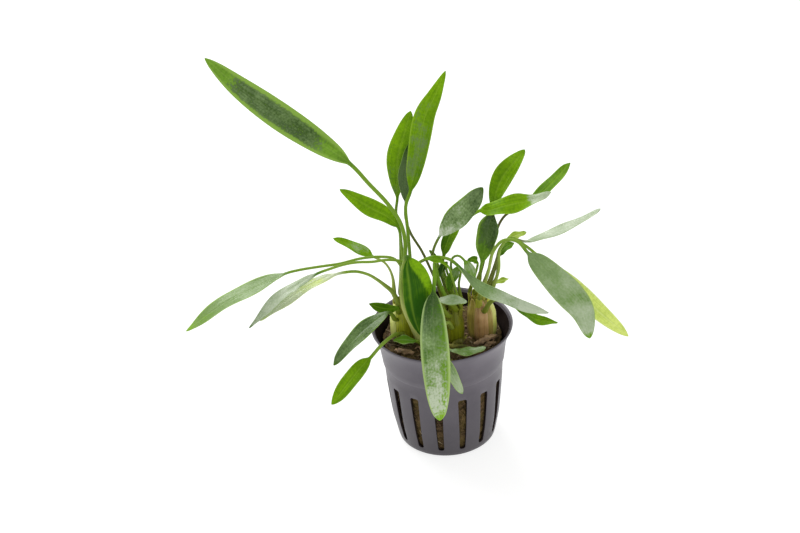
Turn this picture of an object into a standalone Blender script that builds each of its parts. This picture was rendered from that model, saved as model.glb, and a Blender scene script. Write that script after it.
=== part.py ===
"""A small aquarium plant, a cryptocoryne, rooted in rock wool in its slotted plastic net pot.

The origin is the centre of the pot's underside, +Z is up, and the plant's front looks along -Y.
Every size below is in millimetres and is turned into metres where a mesh is made.
"""
import math
from collections import namedtuple

import bmesh
import bpy
from mathutils import Vector

MM = 0.001
GAP = 0.3

POT_HEIGHT = 50.0
RIM_RADIUS = 27.4
BASE_RADIUS = 18.6
POT_WALL = 0.9
POT_SIDES = 45

SLOT_COUNT = 15
SLOT_TOP_WIDTH = 3.6
SLOT_FOOT_WIDTH = 2.3
SLOT_BOTTOM = 3.5
SLOT_TOP = 28.5
FIRST_SLOT_DEG = -56.0

BASE_SLOT_COUNT = 10
BASE_SLOT_WIDTH = 2.0
BASE_SLOT_INNER = 7.0
BASE_SLOT_OUTER = 15.0
FLOOR_THICKNESS = 1.2
WOOL_FOOT = FLOOR_THICKNESS + GAP

WOOL_TOP = 45.2
WOOL_TOP_RADIUS = 22.0
WOOL_SIDE_HEIGHTS = (WOOL_TOP - 1.0, 42.0, 36.0, 34.0, 20.0, 11.0, 6.0)
WOOL_FOOT_RADIUS = 16.6
WOOL_SIDES = 36

CROWN_FOOT = WOOL_TOP + GAP
CROWN_SIDES = 12

LEAF_SIDES = 6
BLADE_STEPS = (0.0, 0.1, 0.24, 0.4, 0.58, 0.76, 0.91, 1.0)
BLADE_THICKNESS = 0.8
BLADE_FOLD = 0.12
TIP_HALF_WIDTH = 0.15
STEPS_PER_SPAN = 12
SHARPEST_TURN_DEG = 26.0

# Outer radius of the pot at each height, from the underside up to the flared collar.
POT_OUTSIDE = [
    (BASE_RADIUS, 0.0), (19.2, 0.7), (19.6, 2.2), (21.1, 10.0), (22.0, 18.0), (22.7, 26.0),
    (23.0, 31.0), (23.2, 34.6), (23.7, 35.1), (24.6, 42.0), (25.9, 46.5), (RIM_RADIUS, 49.5),
    (RIM_RADIUS - 0.3, POT_HEIGHT),
]

COLOURS = {
    "pot_plastic": ((0.105, 0.095, 0.115), 0.45),
    "rock_wool": ((0.16, 0.10, 0.05), 0.95),
    "crown": ((0.22, 0.21, 0.04), 0.5),
    "leaf": ((0.10, 0.27, 0.01), 0.35),
    "leaf_dark": ((0.07, 0.12, 0.06), 0.3),
    "leaf_pale": ((0.24, 0.38, 0.16), 0.35),
    "leaf_lime": ((0.40, 0.58, 0.06), 0.4),
}

Leaf = namedtuple("Leaf", "name colour stalk blade width across stem widest foot tip")
Crown = namedtuple("Crown", "name centre rings lean")

# Each leaf: its stalk's points from the crown, its blade's points from there to the tip, the
# blade's width, the direction across the blade, the stalk's diameter, where along the blade it
# is widest, and how fast the outline opens from the foot and closes to the tip (less is blunter).
LEAVES = [
    Leaf("leaf_top_left", "leaf_dark",
         [(-13.6, -3, 61.5), (-12.6, -3.8, 79), (-11.9, -4.2, 89.4), (-13.3, -3.2, 96.4),
          (-17.6, -1.9, 103.9), (-23.7, -0.2, 111.2)],
         [(-30, 3.5, 117.7), (-41, 7, 125.3), (-56, 11, 136), (-70, 14, 147.3), (-80, 16, 157.2)],
         10.6, (6, 6, 6), 1.5, 0.5, 0.42, 0.65),
    Leaf("leaf_top_centre", "leaf",
         [(-11.1, -0.5, 61.5), (-10.6, 1.2, 76), (-10.8, 2, 90), (-11, 4.5, 99)],
         [(-9, 6, 104), (-6, 9, 115), (-2, 13, 131), (2, 15, 138), (6.3, 17, 146.6)],
         9, (8, -5, -2), 1.3, 0.45, 0.55, 0.7),
    Leaf("leaf_top_back", "leaf",
         [(-15.1, 1.5, 61.5), (-14.4, 6.5, 74), (-14, 9, 86), (-15, 11, 93)],
         [(-14.2, 13, 98), (-14, 14.5, 105), (-13, 16, 113.5), (-10.2, 17.5, 122),
          (-7.2, 19, 130.8)],
         8.8, (9, -4, -1), 1.1, 0.52, 0.65, 0.6),
    Leaf("leaf_top_dark", "leaf_dark",
         [(1.9, -2.6, 59.5), (-2, 2.6, 69), (-6, 5, 79), (-10, 6, 87), (-11.5, 8, 93)],
         [(-11, 9.5, 98), (-11, 11, 105), (-10, 12, 113), (-8.5, 14, 120)],
         5.6, (9, -5, 0), 1, 0.42, 0.5, 0.75),
    Leaf("leaf_left_bright", "leaf",
         [(-12.8, 1.5, 61.5), (-13.3, 4.5, 71), (-13.6, 5.3, 82)],
         [(-14.4, 5.1, 89.8), (-18, 6, 94), (-24.2, 7.7, 97.2), (-30, 9.5, 100.7),
          (-35.5, 11.4, 104)],
         7.5, (5, 7, 4), 1.1, 0.44, 0.5, 0.7),
    Leaf("leaf_left_small", "leaf",
         [(-17.6, 0.5, 61.5), (-18, 7, 68), (-20.5, 10, 72)],
         [(-25, 11, 74.6), (-29.1, 12.2, 76.8), (-33.5, 12.8, 79.2), (-39.9, 13.8, 82.1)],
         5.2, (3, 9, 3), 0.9, 0.4, 0.45, 0.7),
    Leaf("leaf_far_left", "leaf_pale",
         [(-13.9, -5.2, 61.5), (-13.7, -6, 71.7), (-14.1, -7.4, 80.3), (-16.6, -8.6, 84.4),
          (-21.7, -9.6, 85.9), (-28.7, -10.4, 86), (-36.1, -11.2, 84.8), (-43.1, -12, 84.5),
          (-50.8, -12.8, 84)],
         [(-56, -14, 83.5), (-66, -16, 80.2), (-79, -19, 75.2), (-94, -23, 66.4)],
         9.4, (3, -10, -1), 1, 0.48, 0.55, 0.65),
    Leaf("leaf_left_upper", "leaf_pale",
         [(1.8, -7.6, 59.5), (-3.2, -8, 70), (-8.2, -10.2, 80), (-13.3, -11.6, 84.5),
          (-18.3, -13, 86.3), (-24.2, -14, 86.4), (-29.9, -15, 87.1), (-35, -16.2, 87),
          (-39.8, -17.4, 86.2)],
         [(-44, -19, 85.6), (-50, -20, 82.8), (-59, -22, 77.6), (-70.4, -25, 67.6)],
         5.6, (4, -9, -2), 1, 0.5, 0.65, 0.65),
    Leaf("leaf_left_lower", "leaf_lime",
         [(-15.6, -5.5, 61.5), (-17.8, -6.6, 68.8), (-20.4, -7.6, 72.4), (-23.1, -8.8, 75.8),
          (-26.2, -10.2, 79), (-30.1, -12, 81.5), (-33.3, -13.6, 82.5)],
         [(-37.2, -15.6, 83), (-44.2, -17.5, 81.5), (-51.8, -19, 78), (-59, -21, 73.9),
          (-66.3, -23.5, 69.5)],
         6.2, (3, -9, -2), 1.1, 0.5, 0.65, 0.65),
    Leaf("leaf_front_left", "leaf_dark",
         [(-17.3, -7.2, 55.5), (-18.3, -9.4, 60)],
         [(-19.8, -12, 63.2), (-23.6, -15.2, 62.5), (-28.1, -18.6, 61), (-33.5, -22.4, 57.6),
          (-37.4, -24.8, 54.1), (-40.8, -26.6, 50.4)],
         7.2, (6, -8, -2), 1.2, 0.45, 0.45, 0.6),
    Leaf("leaf_low_left", "leaf",
         [(-14.6, -8.2, 50), (-17.4, -13, 54), (-22.5, -21, 55)],
         [(-27, -25, 52), (-31, -28, 49.5), (-35, -31, 46), (-38, -33, 43), (-42.2, -35, 38.8)],
         7.2, (7, -7, -2), 1.3, 0.46, 0.5, 0.6),
    Leaf("leaf_left_bit", "leaf",
         [(-16, -7.6, 58.2), (-16.2, -7.6, 60.6)],
         [(-16.2, -7.6, 62.2), (-19.2, -7.3, 61.8), (-22.7, -7.8, 62.9), (-26.9, -8.6, 65.4)],
         4, (1, -4, -8), 1, 0.5, 0.5, 0.75),
    Leaf("leaf_in_pot", "leaf_pale",
         [(-9, -9, 46.2), (-8.5, -13, 50)],
         [(-10.5, -14.5, 51.5), (-14, -15, 52.5), (-18.5, -15.5, 53)],
         4.6, (1, 10, 2), 1.2, 0.45, 0.5, 0.6),
    Leaf("leaf_front_wide", "leaf",
         [(-8.2, -7.4, 46.5), (-11.2, -9, 56.1), (-13.7, -10.2, 64.1), (-14.3, -11.4, 71.4),
          (-13.8, -12.8, 78.7), (-12.3, -14.8, 86.1)],
         [(-11.1, -16.6, 89.1), (-9.5, -17.6, 84.6), (-8.4, -18.2, 78.9), (-8.1, -18.5, 72.7),
          (-7.9, -18.3, 64.8), (-7.3, -17.6, 55.1)],
         11.4, (10, 3, 0), 1.5, 0.42, 0.5, 0.7),
    Leaf("leaf_front_long", "leaf_pale",
         [(6.2, -8.2, 59.5), (1.8, -10, 68), (-0.6, -11.2, 77), (-1.4, -12.8, 83.6),
          (-1.5, -15.4, 83), (-1.8, -17.8, 79.6)],
         [(-2.3, -19.6, 76), (-2.8, -22.6, 73.2), (-3, -26.7, 67.9), (-3, -32.3, 60.9),
          (-2.8, -37.7, 53.5), (-2.7, -41.7, 45.4), (-2.6, -44.6, 36)],
         10.6, (10, 0, 0), 1.5, 0.47, 0.45, 0.42),
    Leaf("leaf_front_hidden", "leaf_pale",
         [(3.9, -9.8, 52), (2.5, -13, 58), (0, -20, 59.5)],
         [(-1, -28, 56.5), (1, -33, 52), (3.5, -36, 48), (6.2, -38, 42.8)],
         4.8, (9, 5, -1), 1.2, 0.5, 0.65, 0.5),
    Leaf("leaf_centre_grey", "leaf_dark",
         [(3.9, -6.1, 59.5), (0.8, -6.2, 74), (-2, -9.3, 85)],
         [(1, -12, 94.5), (5, -13, 100), (9, -14, 104), (13, -15, 109), (17.1, -16, 115.2)],
         8.8, (5, -6, -6), 1, 0.5, 0.5, 0.6),
    Leaf("leaf_centre_green", "leaf",
         [(6.6, -2.1, 59.5), (2, 0, 72)],
         [(2, -1, 80), (4, -2, 87), (7, -3, 94), (9, -4, 100)],
         5.6, (7, -7, -4), 1, 0.45, 0.6, 0.75),
    Leaf("leaf_right_high", "leaf",
         [(13.2, 2.4, 62.5), (17, 6, 72), (20, 8, 84)],
         [(21.6, 9, 91.5), (22.6, 10, 98.5), (25.6, 12, 104.8), (29.8, 13, 110),
          (34.3, 15, 114.4)],
         8.2, (7, -6, -3), 1.1, 0.55, 0.75, 0.6),
    Leaf("leaf_right_flat", "leaf",
         [(4.7, -0.2, 59.5), (1.2, 3.6, 73), (4, 2.5, 82), (8, 1.5, 90)],
         [(16, 1, 97), (19, 2, 96.4), (25, 3, 97.4), (35, 5, 98.2), (43.2, 7, 100.2)],
         7.5, (2, -8, -5), 1.1, 0.38, 0.36, 0.7),
    Leaf("leaf_right_far", "leaf",
         [(15.7, 0.9, 62.5), (20, 8.5, 71), (22.5, 11.5, 82), (26, 13, 88)],
         [(33, 14.5, 91.2), (38.5, 15.5, 94), (44.6, 17, 99), (51.6, 19, 106)],
         7.4, (3, -9, -1), 1, 0.55, 0.8, 0.65),
    Leaf("leaf_right_dark", "leaf_dark",
         [(12.7, -1.8, 62.5), (15, -1.2, 68)],
         [(15.9, 0, 74), (17.7, 1, 82), (19.5, 2, 89.5), (21, 2.5, 95)],
         8.9, (9, -5, -1), 1.1, 0.62, 1.1, 0.6),
    Leaf("leaf_right_point", "leaf",
         [(10.9, 0.2, 62.5), (13.5, -2.5, 72)],
         [(14.5, -4, 78), (13, -5, 80), (10.5, -5.5, 79.5)],
         3, (2, 8, 6), 0.9, 0.4, 0.5, 0.75),
    Leaf("leaf_right_grey", "leaf_pale",
         [(17.2, -0.6, 62.5), (21, 5.5, 70), (24, 7.5, 77), (28, 9, 80)],
         [(34, 11, 77.6), (41, 13, 78.4), (49, 15, 80.2), (56, 17, 82.4), (63.2, 19, 85.8)],
         5.8, (3, -10, 0), 1, 0.45, 0.22, 0.45),
    Leaf("leaf_right_tiny", "leaf_lime",
         [(16.9, -3.9, 62.5), (21, -1.5, 73), (23, 0, 81)],
         [(26, 1, 84.2), (29.2, 2, 85.2), (33.5, 3, 86)],
         3.8, (3, -9, -3), 0.9, 0.45, 0.55, 0.7),
    Leaf("leaf_right_under", "leaf",
         [(18.8, 1.2, 62.5), (21.7, 1.5, 68)],
         [(23, 3.5, 76), (26, 5, 79), (29, 6, 80)],
         4.2, (4, -9, -2), 0.9, 0.5, 0.7, 0.7),
    Leaf("leaf_right_stub", "leaf_lime",
         [(15.4, 5.3, 57.5), (18.5, 8.5, 61)],
         [(21.2, 9.7, 60.7), (24, 10.2, 61.3), (26.8, 10.8, 61.7)],
         2.8, (3, -9, -3), 0.9, 0.45, 0.55, 0.7),
    Leaf("leaf_right_broad", "leaf_pale",
         [(14.4, -5.6, 62.5), (18.2, -6.9, 75), (20.3, -7.2, 84), (24.2, -9, 89.6), (29, -11, 90)],
         [(32.6, -12.6, 86), (38, -16, 81), (47, -21, 72), (51.2, -25, 67), (53.4, -30, 58.6)],
         11, (8, 5, 4), 1.2, 0.52, 0.4, 0.55),
    Leaf("leaf_right_lime", "leaf_lime",
         [(18.4, -3.9, 62.5), (22.3, -3.8, 74), (23, -4, 83), (27, -4.5, 88), (32, -5, 85)],
         [(38, -6, 79.5), (44, -9, 74), (51, -12, 67), (59, -16, 60.3), (68.8, -21, 52.8)],
         9, (6, 7, 3), 1.1, 0.5, 0.65, 0.65),
    Leaf("leaf_right_low", "leaf_pale",
         [(-11.1, -6, 61.5), (-11, -6.5, 73), (-8.8, -7, 79.5), (-5, -9.3, 83.5), (-1, -13, 86.5),
          (4, -14.5, 86)],
         [(7, -16, 84), (10.8, -17, 79.2), (16.1, -18, 74.1), (24, -19, 70.4), (32.9, -20.3, 66.5),
          (39.4, -21.4, 65.1)],
         6.9, (2, 9, 2), 1.2, 0.5, 0.6, 0.6),
    Leaf("leaf_right_lower", "leaf",
         [(15.6, -8.5, 57.5), (19, -10.8, 65), (22, -11, 66)],
         [(27, -12, 64), (31, -13, 60.8), (36, -14, 57.6), (43.3, -15, 56.6)],
         5.4, (2, 9, 2), 1.1, 0.45, 0.5, 0.65),
    Leaf("leaf_centre_small", "leaf_pale",
         [(3.6, -9.7, 57), (-0.5, -14, 67)],
         [(-1, -16.5, 70), (2, -18, 71), (6, -19, 71), (9.7, -20, 70.8)],
         4.6, (3, 9, 4), 1, 0.5, 0.55, 0.55),
    Leaf("leaf_on_rim", "leaf_pale",
         [(1, -13, 46.2)],
         [(3, -18, 48.7), (10, -20, 49), (16, -19, 50)],
         4.8, (1, -10, -1), 1, 0.5, 0.55, 0.55),
    Leaf("leaf_centre_bit", "leaf",
         [(7.6, -6.1, 59.5), (5, -13, 76)],
         [(3, -17, 85), (-1, -17.5, 88), (-5, -17.5, 88.5)],
         3.4, (1, -9, -3), 0.9, 0.5, 0.65, 0.65),
    Leaf("leaf_centre_tip", "leaf",
         [(5.6, -3.9, 59.5), (2.4, -4, 70)],
         [(-1, -3.8, 80), (-3, -5, 85)],
         2.2, (7, 6, 3), 0.9, 0.45, 0.6, 0.75),
    Leaf("leaf_centre_dark", "leaf_dark",
         [(5.3, -6.7, 59.5), (4.6, -7.1, 70), (2.7, -8, 78.7)],
         [(3, -8.6, 81.4), (2, -8.9, 80.8), (0.9, -8.8, 78.4), (0.4, -8.6, 75.5)],
         4.6, (6, 5, -2), 0.9, 0.45, 0.5, 0.7),
    Leaf("leaf_centre_low", "leaf",
         [(8.1, -4.1, 59.5), (7.2, -5.4, 70), (8, -6.8, 75.5)],
         [(7.5, -8, 78.6), (6.1, -9, 77.4), (4.5, -9.2, 73.7), (3.2, -9, 69.3)],
         5.2, (8, 4, 0), 0.9, 0.45, 0.5, 0.7),
    Leaf("leaf_centre_back", "leaf_pale",
         [(4.3, -2.5, 59.5), (5.2, -3.1, 71.5), (4.6, -4.4, 78.2), (5.7, -5.6, 81.9),
          (7.7, -7, 83)],
         [(9.6, -8.6, 81.8), (11, -9.6, 79.3), (11.9, -10.4, 76.5), (12.7, -11, 73)],
         4.2, (7, 4, 3), 0.9, 0.45, 0.5, 0.7),
]

# Each crown: the centre of its foot, then height above the foot and radius of each ring, and how
# far the top leans from the foot.
CROWNS = [
    Crown("crown_left", (-14.6, -2.2), [(0, 4.6), (4, 5.2), (9, 5.1), (15.6, 4.5)], (0, 0)),
    Crown("crown_middle", (4.4, -4.4), [(0, 4.0), (4, 4.4), (9, 4.3), (13.6, 3.9)], (0, 0)),
    Crown("crown_right", (15.1, -1.6), [(0, 5.4), (4, 5.9), (11, 5.7), (16.6, 4.8)], (0, 0)),
]


def clear_scene():
    for old in list(bpy.data.objects):
        bpy.data.objects.remove(old, do_unlink=True)


def new_collection(name):
    group = bpy.data.collections.new(name)
    bpy.context.scene.collection.children.link(group)
    return group


def make_material(name):
    colour, roughness = COLOURS[name]
    material = bpy.data.materials.new(name)
    material.use_nodes = True
    shader = material.node_tree.nodes["Principled BSDF"]
    shader.inputs["Base Color"].default_value = (*colour, 1.0)
    shader.inputs["Roughness"].default_value = roughness
    shader.inputs["Metallic"].default_value = 0.0
    return material


def add_object(name, mesh, collection, material=None):
    thing = bpy.data.objects.new(name, mesh)
    collection.objects.link(thing)
    if material:
        mesh.materials.append(material)
    return thing


def smooth_route(points):
    """Points on one smooth curve through the given ones, with each one's place along the list."""
    ends = [points[0] * 2 - points[1]] + points + [points[-1] * 2 - points[-2]]
    knots = [0.0]
    for before, after in zip(ends, ends[1:]):
        knots.append(knots[-1] + math.sqrt((after - before).length))
    curve = []
    for span in range(len(points) - 1):
        a, b, c, d = ends[span:span + 4]
        ta, tb, tc, td = knots[span:span + 4]
        for step in range(STEPS_PER_SPAN):
            t = tb + (tc - tb) * step / STEPS_PER_SPAN
            ab = a.lerp(b, (t - ta) / (tb - ta))
            bc = b.lerp(c, (t - tb) / (tc - tb))
            cd = c.lerp(d, (t - tc) / (td - tc))
            abc = ab.lerp(bc, (t - ta) / (tc - ta))
            bcd = bc.lerp(cd, (t - tb) / (td - tb))
            curve.append(abc.lerp(bcd, (t - tb) / (tc - tb)))
    curve.append(points[-1])
    return curve


def lengths_along(curve):
    travelled = [0.0]
    for before, after in zip(curve, curve[1:]):
        travelled.append(travelled[-1] + (after - before).length)
    return travelled


def place_at(curve, travelled, distance):
    """The point and direction at a distance along the curve."""
    last = len(curve) - 1
    index = 0
    while index < last - 1 and travelled[index + 1] < distance:
        index += 1
    share = (distance - travelled[index]) / (travelled[index + 1] - travelled[index])
    point = curve[index].lerp(curve[index + 1], share)
    before = curve[max(index - 1, 0)]
    after = curve[min(index + 2, last)]
    return point, (after - before).normalized()


def stalk_stations(curve, travelled, end):
    """Distances of the stalk's rings: closer together where it turns."""
    stations = [0.0]
    heading = place_at(curve, travelled, 0.0)[1]
    for distance in travelled[1:]:
        if distance > end - 1.0:
            break
        direction = place_at(curve, travelled, distance)[1]
        turned = math.degrees(heading.angle(direction))
        if distance - stations[-1] > 1.2 and (turned > SHARPEST_TURN_DEG
                                              or distance - stations[-1] > 14.0):
            stations.append(distance)
            heading = direction
    return stations


def blade_half_width(share, leaf):
    """Opens from nothing at the foot to the widest place, then closes to the tip."""
    if share < leaf.widest:
        return leaf.width / 2 * math.sin(math.pi / 2 * share / leaf.widest) ** leaf.foot
    closing = (share - leaf.widest) / (1.0 - leaf.widest)
    return leaf.width / 2 * max(math.cos(math.pi / 2 * closing), 0.0) ** leaf.tip


def build_leaf(leaf, collection, material):
    """A six-sided rod laid along the leaf's route, round as a stalk and flat as a blade."""
    stalk_count = len(leaf.stalk)
    curve = smooth_route([Vector(point) for point in leaf.stalk + leaf.blade])
    travelled = lengths_along(curve)
    blade_start = travelled[stalk_count * STEPS_PER_SPAN]
    blade_length = travelled[-1] - blade_start
    stations = stalk_stations(curve, travelled, blade_start)
    stations += [blade_start + blade_length * step for step in BLADE_STEPS]
    across = Vector(leaf.across)
    middle_along = place_at(curve, travelled, blade_start + blade_length / 2)[1]
    upper_side = 1.0 if across.cross(middle_along).z > 0 else -1.0

    mesh = bpy.data.meshes.new(leaf.name)
    shape = bmesh.new()
    bmesh.ops.create_cone(shape, cap_ends=True, segments=LEAF_SIDES, radius1=1.0, radius2=1.0,
                          depth=1.0)
    long_edges = [edge for edge in shape.edges
                  if abs(edge.verts[0].co.z - edge.verts[1].co.z) > 0.5]
    bmesh.ops.subdivide_edges(shape, edges=long_edges, cuts=len(stations) - 2)
    for vert in shape.verts:
        ring = round((vert.co.z + 0.5) * (len(stations) - 1))
        centre, along = place_at(curve, travelled, stations[ring])
        face = across.cross(along).normalized() * upper_side
        side = face.cross(along)
        share = (stations[ring] - blade_start) / blade_length
        stem = leaf.stem / 2
        if share <= 0:
            half, thick, fold = stem, stem, 0.0
        else:
            flat = min(share / 0.15, 1.0)
            half = blade_half_width(min(share, 1.0), leaf)
            if share < 0.5:
                half = max(half, stem)
            half = max(half, TIP_HALF_WIDTH)
            thick = stem + (BLADE_THICKNESS / 2 - stem) * flat
            thick = min(thick, half)
            fold = BLADE_FOLD * flat
        across_part = vert.co.x
        up_part = vert.co.y
        vert.co = centre + side * (across_part * half)
        vert.co += face * (up_part * thick + abs(across_part) * half * fold)
        vert.co *= MM
    shape.to_mesh(mesh)
    shape.free()
    mesh.shade_smooth()
    return add_object(leaf.name, mesh, collection, material)


def build_crown(crown, collection, material):
    """A short stem wrapped in sheathing leaf bases: a fluted, slightly bulging cylinder."""
    mesh = bpy.data.meshes.new(crown.name)
    shape = bmesh.new()
    bmesh.ops.create_cone(shape, cap_ends=True, segments=CROWN_SIDES, radius1=1.0, radius2=1.0,
                          depth=1.0)
    long_edges = [edge for edge in shape.edges
                  if abs(edge.verts[0].co.z - edge.verts[1].co.z) > 0.5]
    bmesh.ops.subdivide_edges(shape, edges=long_edges, cuts=len(crown.rings) - 2)
    for vert in shape.verts:
        ring = round((vert.co.z + 0.5) * (len(crown.rings) - 1))
        height, radius = crown.rings[ring]
        angle = math.atan2(vert.co.y, vert.co.x)
        radius *= 1.0 + 0.05 * math.cos(3 * angle + 0.4)
        rise = height / crown.rings[-1][0]
        vert.co = Vector((crown.centre[0] + crown.lean[0] * rise + radius * math.cos(angle),
                          crown.centre[1] + crown.lean[1] * rise + radius * math.sin(angle),
                          CROWN_FOOT + height)) * MM
    shape.to_mesh(mesh)
    shape.free()
    mesh.shade_smooth()
    return add_object(crown.name, mesh, collection, material)


def build_turned(name, profile, sides, collection, material):
    """A profile of (radius, height) pairs, running up the inside and down the outside, turned."""
    mesh = bpy.data.meshes.new(name)
    points = [(radius * MM, 0.0, height * MM) for radius, height in profile]
    links = [(index, index + 1) for index in range(len(points) - 1)]
    mesh.from_pydata(points, links, [])
    thing = add_object(name, mesh, collection, material)
    screw = thing.modifiers.new("turn", "SCREW")
    screw.axis = "Z"
    screw.steps = sides
    screw.render_steps = sides
    screw.use_merge_vertices = True
    screw.merge_threshold = 0.00001
    screw.use_smooth_shade = True
    return thing


def wall_inside(height):
    """Inner radius of the pot's wall at a height."""
    for (low_r, low_z), (high_r, high_z) in zip(POT_OUTSIDE, POT_OUTSIDE[1:]):
        if height <= high_z:
            share = (height - low_z) / (high_z - low_z)
            return low_r + (high_r - low_r) * share - POT_WALL
    return POT_OUTSIDE[-1][0] - POT_WALL


def add_slot_cutter(name, inner, outer, width, foot_width, bottom, top, degrees, collection):
    """A block that cuts one slot: `width` wide at its top and `foot_width` at its foot."""
    bpy.ops.mesh.primitive_cube_add(size=1.0)
    cutter = bpy.context.object
    cutter.name = name
    for vert in cutter.data.vertices:
        if vert.co.z < 0.0:
            vert.co.x *= foot_width / width
    cutter.scale = (width * MM, (outer - inner) * MM, (top - bottom) * MM)
    angle = math.radians(degrees)
    middle = (inner + outer) / 2
    cutter.location = (middle * math.sin(angle) * MM, -middle * math.cos(angle) * MM,
                       (bottom + top) / 2 * MM)
    cutter.rotation_euler = (0.0, 0.0, angle)
    for group in list(cutter.users_collection):
        group.objects.unlink(cutter)
    collection.objects.link(cutter)
    cutter.hide_render = True
    cutter.display_type = "WIRE"
    return cutter


def build_pot(collection, cutters, material):
    inside = [(0.0, FLOOR_THICKNESS), (wall_inside(FLOOR_THICKNESS) - POT_WALL, FLOOR_THICKNESS),
              (wall_inside(3.0), 3.0)]
    inside += [(radius - POT_WALL, height) for radius, height in POT_OUTSIDE[3:-1]]
    inside.append((RIM_RADIUS - POT_WALL + 0.1, POT_HEIGHT))
    profile = inside + list(reversed(POT_OUTSIDE)) + [(0.0, 0.0)]
    pot = build_turned("pot", profile, POT_SIDES, collection, material)
    for index in range(SLOT_COUNT):
        add_slot_cutter(f"slot_{index:02d}", 15.0, 27.0, SLOT_TOP_WIDTH, SLOT_FOOT_WIDTH,
                        SLOT_BOTTOM, SLOT_TOP, FIRST_SLOT_DEG + index * 360.0 / SLOT_COUNT,
                        cutters)
    for index in range(BASE_SLOT_COUNT):
        add_slot_cutter(f"base_slot_{index:02d}", BASE_SLOT_INNER, BASE_SLOT_OUTER,
                        BASE_SLOT_WIDTH, BASE_SLOT_WIDTH, -1.0, 2.4,
                        index * 360.0 / BASE_SLOT_COUNT, cutters)
    cut = pot.modifiers.new("slots", "BOOLEAN")
    cut.operation = "DIFFERENCE"
    cut.operand_type = "COLLECTION"
    cut.collection = cutters
    cut.solver = "EXACT"
    return pot


def build_rock_wool(collection, material):
    """The plug fills the pot up to a few millimetres below the rim."""
    side = [(wall_inside(height) - GAP, height) for height in WOOL_SIDE_HEIGHTS]
    profile = [(0.0, WOOL_TOP), (WOOL_TOP_RADIUS, WOOL_TOP)] + side
    profile += [(WOOL_FOOT_RADIUS, WOOL_FOOT), (0.0, WOOL_FOOT)]
    return build_turned("rock_wool", profile, WOOL_SIDES, collection, material)


def main():
    clear_scene()
    plant = new_collection("potted_cryptocoryne")
    cutters = new_collection("cutters")
    materials = {name: make_material(name) for name in COLOURS}
    build_pot(plant, cutters, materials["pot_plastic"])
    build_rock_wool(plant, materials["rock_wool"])
    for crown in CROWNS:
        build_crown(crown, plant, materials["crown"])
    for leaf in LEAVES:
        build_leaf(leaf, plant, materials[leaf.colour])


main()
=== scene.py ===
# %% [markdown]
# # Dressing a potted cryptocoryne
#
# The object is a small aquarium plant as a shop sells it: a slotted plastic net pot, a plug of
# rock wool in it, three crowns of sheathing leaf bases, and thirty-eight leaves, each one blade
# on its own stalk. The plain solids are loaded first. They fix where everything is and how big
# it is, and each of them is then replaced by a finely modelled piece of the same size.

import math
import random
from collections import namedtuple

import bpy
import numpy as np
from mathutils import Matrix, Vector, noise


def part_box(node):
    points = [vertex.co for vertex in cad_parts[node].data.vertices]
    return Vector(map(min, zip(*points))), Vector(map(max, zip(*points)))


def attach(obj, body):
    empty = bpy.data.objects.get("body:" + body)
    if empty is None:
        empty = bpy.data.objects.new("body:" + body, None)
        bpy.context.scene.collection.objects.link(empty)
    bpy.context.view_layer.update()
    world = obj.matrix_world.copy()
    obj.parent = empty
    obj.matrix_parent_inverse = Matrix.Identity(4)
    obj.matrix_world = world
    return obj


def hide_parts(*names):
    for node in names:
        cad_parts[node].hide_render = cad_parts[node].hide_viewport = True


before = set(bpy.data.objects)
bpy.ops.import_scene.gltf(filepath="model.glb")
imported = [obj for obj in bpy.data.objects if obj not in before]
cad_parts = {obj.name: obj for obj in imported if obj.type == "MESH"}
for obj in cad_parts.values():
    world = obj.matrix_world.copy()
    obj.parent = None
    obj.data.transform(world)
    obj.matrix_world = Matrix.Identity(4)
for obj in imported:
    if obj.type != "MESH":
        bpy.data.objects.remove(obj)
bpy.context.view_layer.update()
MM = 0.001
print("solids in the frame:", len(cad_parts))

# %% [markdown]
# ## Camera
#
# The plant is seen from in front and above. A lens of 63 mm stands about 57 cm away, looks down
# by almost 30 degrees and is rolled by four, which is why the pot seems to lean. The camera's
# three axes are written out from those angles, so each angle can be changed on its own.

# %% Camera
CAMERA_PLACE = Vector((0.0, -0.458, 0.3371))
LENS_MM = 63.0
LOOK_DOWN = math.radians(29.69)
LOOK_ASIDE = math.radians(-1.82)
ROLL = math.radians(-3.98)


def camera_axes():
    level = math.cos(LOOK_DOWN)
    forward = Vector((math.sin(LOOK_ASIDE) * level, math.cos(LOOK_ASIDE) * level,
                      -math.sin(LOOK_DOWN)))
    right = Vector((math.cos(LOOK_ASIDE), -math.sin(LOOK_ASIDE), 0.0))
    up = right.cross(forward)
    rolled_right = right * math.cos(ROLL) + up * math.sin(ROLL)
    rolled_up = up * math.cos(ROLL) - right * math.sin(ROLL)
    return Matrix((rolled_right, rolled_up, -forward)).transposed()


def place_object(name, data):
    made = bpy.data.objects.new(name, data)
    bpy.context.scene.collection.objects.link(made)
    return made


camera = place_object("camera", bpy.data.cameras.new("camera"))
camera.data.lens = LENS_MM
camera.matrix_world = Matrix.Translation(CAMERA_PLACE) @ camera_axes().to_4x4()
bpy.context.scene.camera = camera
print("camera at", [round(value, 3) for value in CAMERA_PLACE])

# %% [markdown]
# ## Materials in short words
#
# A material is a small graph of nodes. `Graph` keeps each step of it on one line: `mul` and
# `add` are Math nodes, `mix` blends two colours, `remap` stretches a range, `painted` reads a
# number that is stored on each vertex of the piece, and `shade` feeds the shader. In each
# finish below, `g` is its graph.

# %% Graph


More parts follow.
